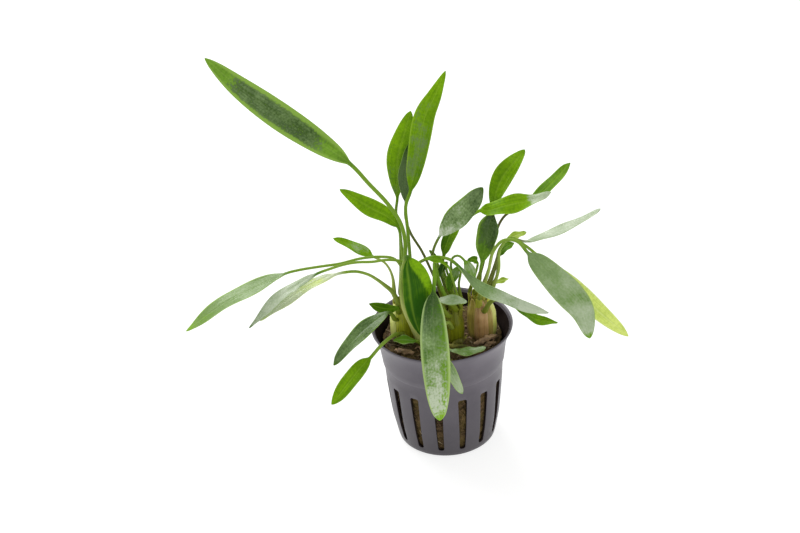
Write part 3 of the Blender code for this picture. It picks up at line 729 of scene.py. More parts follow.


# %% [markdown]
# ## The leaves
#
# Each block of the table is one leaf, in millimetres. Its heading gives the leaf's name and
# finish, the blade's width, the three parts of the direction across it, the stalk's diameter,
# where the blade is widest, and how bluntly it opens from its foot and closes to its tip. The
# last two parts are the points of its stalk from the crown and of its blade to the tip. They
# are the same as those of the plain solids, so that each leaf stays where its solid is.
#
# The part between them is how the leaf differs from a plain one. Pairs run from the blade's
# foot to its tip. `film`, `span`, `film_side`, `frost` and `grain` are
# for the wet film and the sheen painted on it: how much, over which stretch, on which side, how
# white its painted sheen and glints are, and how speckled. `lit` and `side` say how much painted
# light comes through and whether one side is painted brighter, `rims` how broad the pale margins
# are, `wave`, `fold` and `midrib` bend and crease the blade, and `flap` paints light on one
# side of the blade from its foot. `cream`, `brown` and `foot` are for the stalk: its colour, and
# how far it swells at its foot.

# %% The table of leaves
LEAF_TABLE = """
leaf_top_left leaf_dark 10.6 6 6 6 1.5 .5 .42 .65
| film 1.1 .9, span .22 .8, film_side -.1, frost .12 .1, lit .75 1, side .1, rims 1.9 2.4, wave .4,
  cream .15, grain .7
| -13.6 -3 61.5, -12.6 -3.8 79, -11.9 -4.2 89.4, -13.3 -3.2 96.4, -17.6 -1.9 103.9, -23.7 -.2 111.2
| -30 3.5 117.7, -41 7 125.3, -56 11 136, -70 14 147.3, -80 16 157.2

leaf_top_centre leaf 9 8 -5 -2 1.3 .45 .55 .7
| film .45 .2, span .1 .8, frost .2, lit .5 .9, side .3, grain .2
| -11.1 -.5 61.5, -10.6 1.2 76, -10.8 2 90, -11 4.5 99
| -9 6 104, -6 9 115, -2 13 131, 2 15 138, 6.3 17 146.6

leaf_top_back leaf 8.8 9 -4 -1 1.1 .52 .65 .6
| film .4 0, span 0 .6, film_side .6, frost .1, lit .6 .9, side .35, brown .15, grain .2
| -15.1 1.5 61.5, -14.4 6.5 74, -14 9 86, -15 11 93
| -14.2 13 98, -14 14.5 105, -13 16 113.5, -10.2 17.5 122, -7.2 19 130.8

leaf_top_dark leaf_dark 5.6 9 -5 0 1 .42 .5 .75
| film .9 .7, span 0 .95, frost .1, lit .2 .35, brown .6
| 1.9 -2.6 59.5, -2 2.6 69, -6 5 79, -10 6 87, -11.5 8 93
| -11 9.5 98, -11 11 105, -10 12 113, -8.5 14 120

leaf_left_bright leaf 7.5 5 7 4 1.1 .44 .5 .7
| film 0, lit .7 .8, cream .15
| -12.8 1.5 61.5, -13.3 4.5 71, -13.6 5.3 82
| -14.4 5.1 89.8, -18 6 94, -24.2 7.7 97.2, -30 9.5 100.7, -35.5 11.4 104

leaf_left_small leaf 5.2 3 9 3 .9 .4 .45 .7
| film .35 .3, frost .7, lit .8 .9, cream .5
| -17.6 .5 61.5, -18 7 68, -20.5 10 72
| -25 11 74.6, -29.1 12.2 76.8, -33.5 12.8 79.2, -39.9 13.8 82.1

leaf_far_left leaf_pale 9.4 3 -10 -1 1 .48 .55 .65
| film .95 .5, span 0 .92, frost .5 .42, lit .55 .85, rims .5 .6, cream .3
| -13.9 -5.2 61.5, -13.7 -6 71.7, -14.1 -7.4 80.3, -16.6 -8.6 84.4, -21.7 -9.6 85.9, -28.7 -10.4 86,
  -36.1 -11.2 84.8, -43.1 -12 84.5, -50.8 -12.8 84
| -56 -14 83.5, -66 -16 80.2, -79 -19 75.2, -94 -23 66.4

leaf_left_upper leaf_pale 5.6 4 -9 -2 1 .5 .65 .65
| film 1, span 0 .98, film_side -.1, frost .88 .84, lit .3 .2, side -.4, rims .2 .3, cream .35
| 1.8 -7.6 59.5, -3.2 -8 70, -8.2 -10.2 80, -13.3 -11.6 84.5, -18.3 -13 86.3, -24.2 -14 86.4,
  -29.9 -15 87.1, -35 -16.2 87, -39.8 -17.4 86.2
| -44 -19 85.6, -50 -20 82.8, -59 -22 77.6, -70.4 -25 67.6

leaf_left_lower leaf_lime 6.2 3 -9 -2 1.1 .5 .65 .65
| film .65, span -.1 1.1, frost .95, lit 1, rims .2 .2, cream .3, foot .9 20, grain .05
| -15.6 -5.5 61.5, -17.8 -6.6 68.8, -20.4 -7.6 72.4, -23.1 -8.8 75.8, -26.2 -10.2 79, -30.1 -12 81.5,
  -33.3 -13.6 82.5
| -37.2 -15.6 83, -44.2 -17.5 81.5, -51.8 -19 78, -59 -21 73.9, -66.3 -23.5 69.5

leaf_front_left leaf_dark 7.2 6 -8 -2 1.2 .45 .45 .6
| film 1 .9, span 0 .95, frost .24 .16, lit .4 .3, grain .4
| -17.3 -7.2 55.5, -18.3 -9.4 60
| -19.8 -12 63.2, -23.6 -15.2 62.5, -28.1 -18.6 61, -33.5 -22.4 57.6, -37.4 -24.8 54.1,
  -40.8 -26.6 50.4

leaf_low_left leaf 7.2 7 -7 -2 1.3 .46 .5 .6
| film .1 0, lit .6 .8, side -.2, cream .15
| -14.6 -8.2 50, -17.4 -13 54, -22.5 -21 55
| -27 -25 52, -31 -28 49.5, -35 -31 46, -38 -33 43, -42.2 -35 38.8

leaf_left_bit leaf 4 1 -4 -8 1 .5 .5 .75
| lit .45
| -16 -7.6 58.2, -16.2 -7.6 60.6
| -16.2 -7.6 62.2, -19.2 -7.3 61.8, -22.7 -7.8 62.9, -26.9 -8.6 65.4

leaf_in_pot leaf_pale 4.6 1 10 2 1.2 .45 .5 .6
| lit .3 .5
| -9 -9 46.2, -8.5 -13 50
| -10.5 -14.5 51.5, -14 -15 52.5, -18.5 -15.5 53

leaf_front_wide leaf 11.4 10 3 0 1.5 .42 .5 .7
| film 0, lit .04 0, rims .1 .1, wave .15, fold .07, cream 1, flap .6, midrib -.5, foot 1.1 30
| -8.2 -7.4 46.5, -11.2 -9 56.1, -13.7 -10.2 64.1, -14.3 -11.4 71.4, -13.8 -12.8 78.7,
  -12.3 -14.8 86.1
| -11.1 -16.6 89.1, -9.5 -17.6 84.6, -8.4 -18.2 78.9, -8.1 -18.5 72.7, -7.9 -18.3 64.8,
  -7.3 -17.6 55.1

leaf_front_long leaf_pale 10.6 10 0 0 1.5 .47 .45 .42
| film .95 .55, span 0 .95, film_side -.25, frost 0 .92, lit .15 .95, side .5, rims 1 1, wave .3,
  cream 0, grain .45
| 6.2 -8.2 59.5, 1.8 -10 68, -.6 -11.2 77, -1.4 -12.8 83.6, -1.5 -15.4 83, -1.8 -17.8 79.6
| -2.3 -19.6 76, -2.8 -22.6 73.2, -3 -26.7 67.9, -3 -32.3 60.9, -2.8 -37.7 53.5, -2.7 -41.7 45.4,
  -2.6 -44.6 36

leaf_front_hidden leaf_pale 4.8 9 5 -1 1.2 .5 .65 .5
| film .9, span 0 .98, frost .7, lit .5 .6, rims .8 .8, cream .3
| 3.9 -9.8 52, 2.5 -13 58, 0 -20 59.5
| -1 -28 56.5, 1 -33 52, 3.5 -36 48, 6.2 -38 42.8

leaf_centre_grey leaf_dark 8.8 5 -6 -6 1 .5 .5 .6
| film 1 .9, span 0 .97, frost .72 .14, lit .4 .3, rims .7 .2, wave .6, cream 0, brown .45, grain .45
| 3.9 -6.1 59.5, .8 -6.2 74, -2 -9.3 85
| 1 -12 94.5, 5 -13 100, 9 -14 104, 13 -15 109, 17.1 -16 115.2

leaf_centre_green leaf 5.6 7 -7 -4 1 .45 .6 .75
| lit .3 .75, side -.4, brown .15
| 6.6 -2.1 59.5, 2 0 72
| 2 -1 80, 4 -2 87, 7 -3 94, 9 -4 100

leaf_right_high leaf 8.2 7 -6 -3 1.1 .55 .75 .6
| lit .65 .75, brown .25
| 13.2 2.4 62.5, 17 6 72, 20 8 84
| 21.6 9 91.5, 22.6 10 98.5, 25.6 12 104.8, 29.8 13 110, 34.3 15 114.4

leaf_right_flat leaf 7.5 2 -8 -5 1.1 .38 .36 .7
| film .2 1.2, span .7 1.1, frost .6 .85, lit .85, wave 1.1
| 4.7 -.2 59.5, 1.2 3.6 73, 4 2.5 82, 8 1.5 90
| 16 1 97, 19 2 96.4, 25 3 97.4, 35 5 98.2, 43.2 7 100.2

leaf_right_far leaf 7.4 3 -9 -1 1 .55 .8 .65
| film .05, lit .5 .6, brown .75
| 15.7 .9 62.5, 20 8.5 71, 22.5 11.5 82, 26 13 88
| 33 14.5 91.2, 38.5 15.5 94, 44.6 17 99, 51.6 19 106

leaf_right_dark leaf_dark 8.9 9 -5 -1 1.1 .62 1.1 .6
| film 0 1.3, span .32 1, film_side -.5, frost .05 .16, lit .95 .4, rims 1.4 .4, wave .6, brown .1,
  grain .4
| 12.7 -1.8 62.5, 15 -1.2 68
| 15.9 0 74, 17.7 1 82, 19.5 2 89.5, 21 2.5 95

leaf_right_point leaf 3 2 8 6 .9 .4 .5 .75
| lit .4
| 10.9 .2 62.5, 13.5 -2.5 72
| 14.5 -4 78, 13 -5 80, 10.5 -5.5 79.5

leaf_right_grey leaf_pale 5.8 3 -10 0 1 .45 .22 .45
| film 1.2, span -.1 1.1, frost .85 .9, lit .5 .3, rims .3 .3, cream .2, brown .6
| 17.2 -.6 62.5, 21 5.5 70, 24 7.5 77, 28 9 80
| 34 11 77.6, 41 13 78.4, 49 15 80.2, 56 17 82.4, 63.2 19 85.8

leaf_right_tiny leaf_lime 3.8 3 -9 -3 .9 .45 .55 .7
| lit .1 .4, cream .2, brown .5
| 16.9 -3.9 62.5, 21 -1.5 73, 23 0 81
| 26 1 84.2, 29.2 2 85.2, 33.5 3 86

leaf_right_under leaf 4.2 4 -9 -2 .9 .5 .7 .7
| lit .35 .45, brown .2
| 18.8 1.2 62.5, 21.7 1.5 68
| 23 3.5 76, 26 5 79, 29 6 80

leaf_right_stub leaf_lime 2.8 3 -9 -3 .9 .45 .55 .7
| lit .2 .3
| 15.4 5.3 57.5, 18.5 8.5 61
| 21.2 9.7 60.7, 24 10.2 61.3, 26.8 10.8 61.7

leaf_right_broad leaf_pale 11 8 5 4 1.2 .52 .4 .55
| film 1 .9, span 0 .95, frost .42 .76, lit .35 .7, rims .3 .3, wave .4, cream .4
| 14.4 -5.6 62.5, 18.2 -6.9 75, 20.3 -7.2 84, 24.2 -9 89.6, 29 -11 90
| 32.6 -12.6 86, 38 -16 81, 47 -21 72, 51.2 -25 67, 53.4 -30 58.6

leaf_right_lime leaf_lime 9 6 7 3 1.1 .5 .65 .65
| frost .8, lit .85 .9, cream .35
| 18.4 -3.9 62.5, 22.3 -3.8 74, 23 -4 83, 27 -4.5 88, 32 -5 85
| 38 -6 79.5, 44 -9 74, 51 -12 67, 59 -16 60.3, 68.8 -21 52.8

leaf_right_low leaf_pale 6.9 2 9 2 1.2 .5 .6 .6
| film 1, span .05 1, frost .18 1.2, lit .1 .2, rims .3 .4, cream .3, grain .15
| -11.1 -6 61.5, -11 -6.5 73, -8.8 -7 79.5, -5 -9.3 83.5, -1 -13 86.5, 4 -14.5 86
| 7 -16 84, 10.8 -17 79.2, 16.1 -18 74.1, 24 -19 70.4, 32.9 -20.3 66.5, 39.4 -21.4 65.1

leaf_right_lower leaf 5.4 2 9 2 1.1 .45 .5 .65
| film .05, lit .5 .65, brown .35, foot 1.1 12
| 15.6 -8.5 57.5, 19 -10.8 65, 22 -11 66
| 27 -12 64, 31 -13 60.8, 36 -14 57.6, 43.3 -15 56.6

leaf_centre_small leaf_pale 4.6 3 9 4 1 .5 .55 .55
| film 1 .9, span 0 1, frost .78 .72, lit .4
| 3.6 -9.7 57, -.5 -14 67
| -1 -16.5 70, 2 -18 71, 6 -19 71, 9.7 -20 70.8

leaf_on_rim leaf_pale 4.8 1 -10 -1 1 .5 .55 .55
| film .7 .8, span 0 1, frost .55 .6, lit .55
| 1 -13 46.2
| 3 -18 48.7, 10 -20 49, 16 -19 50

leaf_centre_bit leaf 3.4 1 -9 -3 .9 .5 .65 .65
| lit .6
| 7.6 -6.1 59.5, 5 -13 76
| 3 -17 85, -1 -17.5 88, -5 -17.5 88.5

leaf_centre_tip leaf 2.2 7 6 3 .9 .45 .6 .75
| lit .35 .4
| 5.6 -3.9 59.5, 2.4 -4 70
| -1 -3.8 80, -3 -5 85

leaf_centre_dark leaf_dark 4.6 6 5 -2 .9 .45 .5 .7
| lit .1 .2
| 5.3 -6.7 59.5, 4.6 -7.1 70, 2.7 -8 78.7
| 3 -8.6 81.4, 2 -8.9 80.8, .9 -8.8 78.4, .4 -8.6 75.5

leaf_centre_low leaf 5.2 8 4 0 .9 .45 .5 .7
| film .3, lit .25 .35
| 8.1 -4.1 59.5, 7.2 -5.4 70, 8 -6.8 75.5
| 7.5 -8 78.6, 6.1 -9 77.4, 4.5 -9.2 73.7, 3.2 -9 69.3

leaf_centre_back leaf_pale 4.2 7 4 3 .9 .45 .5 .7
| film .4, frost .6
| 4.3 -2.5 59.5, 5.2 -3.1 71.5, 4.6 -4.4 78.2, 5.7 -5.6 81.9, 7.7 -7 83
| 9.6 -8.6 81.8, 11 -9.6 79.3, 11.9 -10.4 76.5, 12.7 -11 73
"""


def read_points(text):
    return [tuple(float(number) for number in point.split()) for point in text.split(",")]


def read_look(text):
    look = {}
    for item in text.split(","):
        name, *numbers = item.split()
        values = tuple(float(number) for number in numbers)
        look[name] = values if len(values) > 1 else values[0]
    return Look(**look)


def read_leaf(block):
    heading, look, stalk, blade = block.split("|")
    name, finish, *sizes = heading.split()
    width, x, y, z, stem, widest, foot, tip = (float(size) for size in sizes)
    return Leaf(name, finish, width, (x, y, z), stem, widest, foot, tip,
                read_look(look), read_points(stalk), read_points(blade))


LEAVES = [read_leaf(block) for block in LEAF_TABLE.strip().split("\n\n")]
print("leaf rows:", len(LEAVES))

# %% The leaves


def box_gap(thing, node_name):
    """The largest distance, in millimetres, between the piece's box and its solid's."""
    places = read_vertices(thing)
    low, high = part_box(node_name)
    gap = max(np.abs(places.min(0) - np.array(low)).max(),
              np.abs(places.max(0) - np.array(high)).max())
    return gap / MM


gaps = {}
for number, row in enumerate(LEAVES):
    grown = grow_leaf(row, number)
    gaps[row.name] = box_gap(grown, row.name)
    hand_over(grown, [row.name])
worst = max(gaps, key=gaps.get)
print("leaves:", len(LEAVES), "- furthest from its solid:", worst, round(gaps[worst], 2), "mm")

# %% [markdown]
# ## Crowns
#
# At its foot every stalk widens into a sheath that wraps round the younger ones inside it, so a
# crown is a bundle of overlapping scales round a core of rolled-up young leaves, pale at their
# edges and brown where they are old. Each scale is the same straight rod as a leaf, wide at the
# foot and closing towards the stalks above. It is curved round the crown's middle while it is
# set upright. A narrower scale is added under each stalk that rises from the crown.

# %% Crown finish
SHEATH_DEEP = (0.180, 0.210, 0.002)
SHEATH_OLIVE = (0.720, 0.800, 0.010)
SHEATH_PALE = (0.930, 0.960, 0.300)
SHEATH_BROWN = (0.300, 0.150, 0.040)
SHEATH_TAN = (0.800, 0.500, 0.240)
SHEATH_CREAM = (0.640, 0.640, 0.200)
SHEATH_SHADE = (0.040, 0.042, 0.001)
SHEATH_FOOT_SHADE = (0.035, 0.020, 0.007)


def sheath_finish():
    g = new_material("crown", Roughness=0.42, Coat_Roughness=0.2, IOR=1.3, Subsurface_Weight=0.15,
                     Subsurface_Radius=(0.9, 0.8, 0.3), Subsurface_Scale=0.001)
    streaks = g.use(LENGTHWISE, Lines=5.0)[0]
    blotches, specks = g.use(MOTTLE, Blotch=190.0, Speck=1100.0)
    tone = g.add(g.mul(streaks, 0.65), g.mul(blotches, 0.35), clamp=True)
    fresh = g.mix(tone, SHEATH_DEEP, SHEATH_OLIVE)
    fresh = g.mix(g.painted("pale"), fresh, SHEATH_PALE)
    old = g.mix(tone, SHEATH_BROWN, SHEATH_TAN)
    colour = g.mix(g.painted("old"), fresh, old)
    colour = g.mix(g.mul(g.painted("rim"), 0.3), colour, SHEATH_CREAM)
    # Painted shade: the whole crown is darkened by its shade number.
    colour = g.mix(g.painted("dim"), colour, SHEATH_SHADE)
    # Painted shade at the foot of each scale, where it meets the wool, broken by blotches.
    foot_shade = g.mul(g.painted("foot"), g.remap(blotches, 0.0, 1.0, 0.45, 1.0))
    g.shade(Base_Color=g.mix(g.mul(foot_shade, 0.9), colour, SHEATH_FOOT_SHADE),
            Coat_Weight=g.remap(specks, 0.0, 1.0, 0.0, 0.3))
    g.bump(tone, 0.6, 0.15)
    return g.material


FINISH["crown"] = sheath_finish()
print("finishes so far:", ", ".join(FINISH))

# %% [markdown]
# A row here is one scale: the angle round the crown at which it stands, in degrees from the
# front, half its width, the height its top reaches, and how old and brown, and how pale, it is.

# %% Crown rows
CROWN_FOOT = 44.4
Crown = namedtuple("Crown", "name centre profile dim sheaths")
Sheath = namedtuple("Sheath", "turn half top age pale")
# The number after each crown's profile is painted shade: how far the whole crown is darkened.
CROWNS = [
    Crown("crown_left", (-14.6, -2.2), [(0, 4.6), (5, 5.2), (10, 5.1), (16.7, 4.5)], 0.1,
          [Sheath(-68, 3.1, 61.4, 0.0, 1.0), Sheath(-18, 3.3, 61.2, 0.05, 0.1),
           Sheath(38, 3.4, 60.8, 0.1, 0.0), Sheath(100, 3.4, 60.0, 0.3, 0.1),
           Sheath(-140, 3.5, 60.5, 0.4, 0.2), Sheath(165, 3.5, 60.8, 0.2, 0.2)]),
    Crown("crown_middle", (4.4, -4.4), [(0, 4.0), (5, 4.4), (10, 4.3), (14.7, 3.9)], 0.65,
          [Sheath(22, 3.0, 59.2, 0.0, 0.05), Sheath(-40, 3.0, 59.0, 0.2, 0.0),
           Sheath(78, 2.8, 58.4, 0.3, 0.0), Sheath(180, 3.4, 58.8, 0.5, 0.1),
           Sheath(-110, 3.2, 58.6, 0.3, 0.0)]),
    Crown("crown_right", (15.1, -1.6), [(0, 5.4), (5, 5.9), (12, 5.7), (17.7, 4.8)], 0.15,
          [Sheath(0, 2.9, 62.3, 1.0, 0.0), Sheath(80, 3.1, 62.4, 0.1, 0.75),
           Sheath(44, 2.8, 62.0, 0.7, 0.15), Sheath(-56, 3.4, 62.0, 0.6, 0.0),
           Sheath(150, 3.8, 61.6, 0.6, 0.2), Sheath(-120, 3.6, 61.2, 0.8, 0.1)]),
]
print("sheath rows:", sum(len(crown.sheaths) for crown in CROWNS))

# %% Sheaths and cores
SHEATH_HALF_THICKNESS = 0.36
SHEATH_WIDTHS = ((0.0, 0.95), (0.12, 1.0), (0.3, 1.04), (0.5, 1.02), (0.7, 0.92), (0.85, 0.68),
                 (0.95, 0.40), (1.0, 0.22))
CORE_WIDTHS = ((0.0, 1.0), (0.3, 1.0), (0.6, 0.95), (0.8, 0.8), (0.93, 0.5), (1.0, 0.15))
CORE_INSET = 0.9
CORE_AGE = 0.25
CORE_PALE = 0.05


def crown_radius(crown, height):
    """The crown's outer radius at a height above its foot."""
    heights, radii = zip(*crown.profile)
    return np.interp(height, heights, radii)


def paint_sheath(thing, height, rise, across, seed, age, pale, dim):
    share = height / rise
    # The foot number is painted shade at the scale's foot; the crown's shade number darkens all of
    # it.
    paint(thing, across=across, run_mm=height, seed=seed * 40.0, old=age,
          pale=pale * (0.75 + 0.25 * share),
          rim=smooth_step(np.abs(across), 0.86, 1.0) * smooth_step(share, 0.15, 0.5),
          foot=1.0 - smooth_step(height, 0.5, 4.0), dim=dim)


def grow_sheath(crown, sheath, depth, tip_radius, tip_half, seed):
    """One leaf base wrapped round the crown, `depth` mm inside its outer skin."""
    rise = sheath.top - CROWN_FOOT
    stations = [(share * rise, max(sheath.half * wide, tip_half) * RING_SWELL,
                 SHEATH_HALF_THICKNESS * RING_SWELL) for share, wide in SHEATH_WIDTHS]
    thing, straight, height, half, across = smooth_rod("sheath", stations)
    skin = crown_radius(crown, height) - SHEATH_HALF_THICKNESS - depth
    closing = smooth_step(height / rise, 0.6, 1.0)
    radius = np.maximum(skin + (tip_radius - skin) * closing, 0.6)
    angle = math.radians(sheath.turn) - across * half / np.maximum(radius, 1.4)
    swell = 0.10 * np.sin(across * 11.0 + seed * 20.0) + 0.22 * np.exp(-(across / 0.3) ** 2)
    out = radius + straight[:, 2] + swell * (1.0 - closing)
    place_vertices(thing, np.stack([crown.centre[0] + out * np.sin(angle),
                                    crown.centre[1] - out * np.cos(angle),
                                    CROWN_FOOT + height], axis=1))
    paint_sheath(thing, height, rise, across, seed, sheath.age, sheath.pale, crown.dim)
    return thing


def grow_core(crown, seed):
    """The young leaves rolled up inside the sheaths: a plain cone that closes to a point."""
    rise = crown.profile[-1][0] + 0.4
    stations = []
    for share, wide in CORE_WIDTHS:
        half = (float(crown_radius(crown, share * rise)) - CORE_INSET) * wide
        stations.append((share * rise, half, half))
    thing, straight, height, _, _ = smooth_rod("core", stations)
    angle = np.arctan2(straight[:, 1], -straight[:, 2])
    fluted = 1.0 + 0.05 * np.sin(angle * 7.0 + seed * 9.0)
    place_vertices(thing, np.stack([crown.centre[0] + straight[:, 1] * fluted,
                                    crown.centre[1] + straight[:, 2] * fluted,
                                    CROWN_FOOT + straight[:, 0]], axis=1))
    paint_sheath(thing, height, rise, np.sin(angle) * 0.8, seed, CORE_AGE, CORE_PALE, crown.dim)
    return thing


# %% Crowns
LAYER_DEPTH = 0.16
TOP_INSET = 1.3
YOUNG_HALF_WIDTH = 2.0
LOWEST_RISING_STALK = CROWN_FOOT + 12.0


def join(pieces, name):
    pick(pieces[0])
    for piece in pieces:
        piece.select_set(True)
    bpy.ops.object.join()
    joined = bpy.context.object
    joined.name = name
    return joined


def build_crown(crown):
    rng = random.Random(crown.name)
    pieces = [grow_core(crown, rng.random())]
    top_radius = crown.profile[-1][1]
    for order, sheath in enumerate(crown.sheaths):
        tip_radius = float(crown_radius(crown, sheath.top - CROWN_FOOT)) - TOP_INSET
        pieces.append(grow_sheath(crown, sheath, LAYER_DEPTH * order, tip_radius, 0.3,
                                  rng.random()))
    for row in LEAVES:
        x, y, z = row.stalk[0]
        away = math.hypot(x - crown.centre[0], y - crown.centre[1])
        if away > top_radius + 0.2 or z < LOWEST_RISING_STALK:
            continue
        turn = math.degrees(math.atan2(x - crown.centre[0], crown.centre[1] - y))
        young = Sheath(turn, YOUNG_HALF_WIDTH, z + 0.6, rng.uniform(0.0, 0.3),
                       rng.uniform(0.0, 0.3))
        depth = 0.7 + 0.45 * (top_radius - away)
        pieces.append(grow_sheath(crown, young, depth, away, row.stem / 2 + 0.7, rng.random()))
    bundle = join(pieces, f"{crown.name}_sheaths")
    dress(bundle, "crown")
    hand_over(bundle, [crown.name])
    print(crown.name, "sheaths:", len(pieces), "box gap:", round(box_gap(bundle, crown.name), 2))


for crown in CROWNS:
    build_crown(crown)

# %% [markdown]
# ## Pot
#
# The net pot is thin moulded plastic: a flat floor, a wall that widens upwards, a collar from
# about two thirds up, and long slots that let the roots out. It is drawn as one thin skin: a
# disc for the floor, whose edge is extruded and resized up the wall, ring by ring. The faces of
# the slots are then deleted and the columns beside them are turned a little, so that each slot
# narrows downwards and has round corners. Solidify gives the skin its wall, and Bevel rounds
# every edge as a mould does. The inner faces get a darker, dull finish, which is painted shade:
# the wall's own shadow on its inside.

# %% Pot finish
POT_SHADE = (0.106, 0.094, 0.116)
POT_LIGHT = (0.136, 0.122, 0.148)
POT_DUST = (0.19, 0.17, 0.18)
POT_LOW_SHADE = (0.030, 0.026, 0.028)
LOW_SHADE_TOP = 0.046
INSIDE_SHADE_DARK = (0.012, 0.008, 0.008)
INSIDE_SHADE_PALE = (0.030, 0.022, 0.020)


def pot_finish():
    g = new_material("pot_plastic", IOR=1.4)
    blotches, specks = g.use(MOTTLE, Blotch=70.0, Speck=700.0)
    haze = g.mul(blotches, specks)
    colour = g.mix(blotches, POT_SHADE, POT_LIGHT)
    colour = g.mix(g.mul(haze, 0.25), colour, POT_DUST)
    # Painted shade: the wall is painted darker towards its foot, three quarters of the way to a dark
    # tone at the floor and not at all from 46 mm up.
    height = g.step("SeparateXYZ", {0: g.place()})[2]
    low_shade = g.remap(height, 0.0, LOW_SHADE_TOP, 0.75, 0.0)
    g.shade(Base_Color=g.mix(low_shade, colour, POT_LOW_SHADE), Roughness=g.remap(haze, 0.0, 1.0, 0.38, 0.5))
    g.bump(g.noise(g.place(), 1500.0), 0.15, 0.05)
    return g.material


def pot_inside_finish():
    """The wall's inner face: painted shade, dark and too dull to mirror anything."""
    g = new_material("pot_inside", Roughness=0.8, Specular_IOR_Level=0.0)
    blotches = g.use(MOTTLE, Blotch=90.0, Speck=700.0)[0]
    g.shade(Base_Color=g.mix(blotches, INSIDE_SHADE_DARK, INSIDE_SHADE_PALE))
    return g.material


FINISH["pot_plastic"] = pot_finish()
FINISH["pot_inside"] = pot_inside_finish()
print("finishes so far:", ", ".join(FINISH))

# %% Pot skin
POT_SIDES = 180
FIRST_SLOT_DEG = -56.0
FLOOR_SLOT_FROM = 7.0
FLOOR_SLOT_TO = 15.0
POT_FLOOR = [(radius, 0.0) for radius in (3.0, FLOOR_SLOT_FROM, 11.0, FLOOR_SLOT_TO, 17.6)]
POT_WALL = [(18.6, 0.15), (19.2, 0.7), (19.6, 2.2), (19.85, 3.5), (19.9, 3.7), (20.0, 4.2),
            (21.1, 10.0), (21.6, 14.0), (22.0, 18.0), (22.35, 22.0), (22.7, 26.0), (22.82, 27.8),
            (22.85, 28.3), (22.86, 28.5), (23.0, 31.0), (23.15, 34.3), (23.35, 34.8),
            (23.75, 35.3), (24.0, 37.5), (24.6, 42.0), (25.2, 44.5), (25.9, 46.5), (26.7, 48.2),
            (27.3, 49.3), (27.38, 49.7), (27.1, 50.0)]


def select_open_edge():
    bpy.ops.mesh.select_mode(type="EDGE")
    bpy.ops.mesh.select_all(action="DESELECT")
    bpy.ops.mesh.select_non_manifold()


def extrude_rings(name, rings, sides, turn):
    """A disc whose edge is extruded outwards and upwards, ring by ring."""
    radius, height = rings[0]
    skin = draw_disc(name, sides, radius * MM, "TRIFAN", location=(0.0, 0.0, height * MM),
                     rotation=(0.0, 0.0, turn))
    select_open_edge()
    for next_radius, next_height in rings[1:]:
        growth = next_radius / radius
        extrude_ring((0.0, 0.0, (next_height - height) * MM), (growth, growth, 1.0),
                     (0.0, 0.0, next_height * MM))
        radius, height = next_radius, next_height
    bpy.ops.object.mode_set(mode="OBJECT")
    return skin


turn = math.radians(FIRST_SLOT_DEG) % (2.0 * math.pi / POT_SIDES)
net_pot = extrude_rings("net_pot", POT_FLOOR + POT_WALL, POT_SIDES, turn)
print("faces of the pot's skin:", len(net_pot.data.polygons))

# %% Pot slots
SLOT_COUNT = 15
SLOT_PITCH = 360.0 / SLOT_COUNT
SLOT_HALF_DEG = 4.0
SLOT_LOW = 3.5
SLOT_HIGH = 28.5
SLOT_WIDTH_LOW = 2.3
SLOT_WIDTH_HIGH = 3.6
CORNER_CUT = ((3.4, 0.75), (3.5, 0.7), (3.7, 0.32), (4.2, 0.0), (27.8, 0.0), (28.3, 0.32),
              (28.5, 0.7), (28.6, 0.75))
FLOOR_SLOT_PITCH = 36.0
LOWEST_TURNED = 1.5


def delete_faces(thing, wanted):
    """Deletes the faces whose centre passes the test."""
    for item in (*thing.data.edges, *thing.data.vertices):
        item.select = False
    for face in thing.data.polygons:
        face.select = bool(wanted(face.center))
    edit(thing)
    bpy.ops.mesh.select_mode(type="FACE")
    bpy.ops.mesh.delete(type="FACE")
    bpy.ops.object.mode_set(mode="OBJECT")


def off_slot(degrees, first=FIRST_SLOT_DEG, pitch=SLOT_PITCH):
    """How far a direction is from the middle of the nearest slot, in degrees."""
    return (degrees - first + pitch / 2) % pitch - pitch / 2


def in_slot(centre):
    """True for the skin's faces that lie in a wall slot or in a slot of the floor."""
    radius = math.hypot(centre.x, centre.y) / MM
    height = centre.z / MM
    degrees = math.degrees(math.atan2(centre.x, -centre.y))
    if SLOT_LOW < height < SLOT_HIGH:
        return abs(off_slot(degrees)) < SLOT_HALF_DEG
    if height < 0.1 and FLOOR_SLOT_FROM < radius < FLOOR_SLOT_TO:
        return abs(off_slot(degrees, 0.0, FLOOR_SLOT_PITCH)) < SLOT_HALF_DEG
    return False


def slot_half_degrees(radius, height):
    """Half a slot's width at a height: it narrows downwards and its corners are round."""
    width = np.interp(height, (SLOT_LOW, SLOT_HIGH), (SLOT_WIDTH_LOW, SLOT_WIDTH_HIGH))
    heights, cuts = zip(*CORNER_CUT)
    half = width / 2 - np.interp(height, heights, cuts, left=0.0, right=0.0)
    return np.degrees(half / radius)


def shape_slots(skin):
    """Turns the wall's columns towards or away from the slots until those have their width."""
    places = read_vertices(skin) / MM
    radius = np.hypot(places[:, 0], places[:, 1])
    height = places[:, 2]
    degrees = np.degrees(np.arctan2(places[:, 0], -places[:, 1]))
    off = off_slot(degrees)
    half = slot_half_degrees(np.maximum(radius, 1.0), height)
    inside = off * half / SLOT_HALF_DEG
    beyond = (np.abs(off) - SLOT_HALF_DEG) / (SLOT_PITCH / 2 - SLOT_HALF_DEG)
    outside = np.sign(off) * (half + beyond * (SLOT_PITCH / 2 - half))
    moved = np.where(np.abs(off) < SLOT_HALF_DEG, inside, outside)
    turned = np.radians(degrees + np.where(height > LOWEST_TURNED, moved - off, 0.0))
    place_vertices(skin, np.stack([radius * np.sin(turned), -radius * np.cos(turned), height],
                                  axis=1))


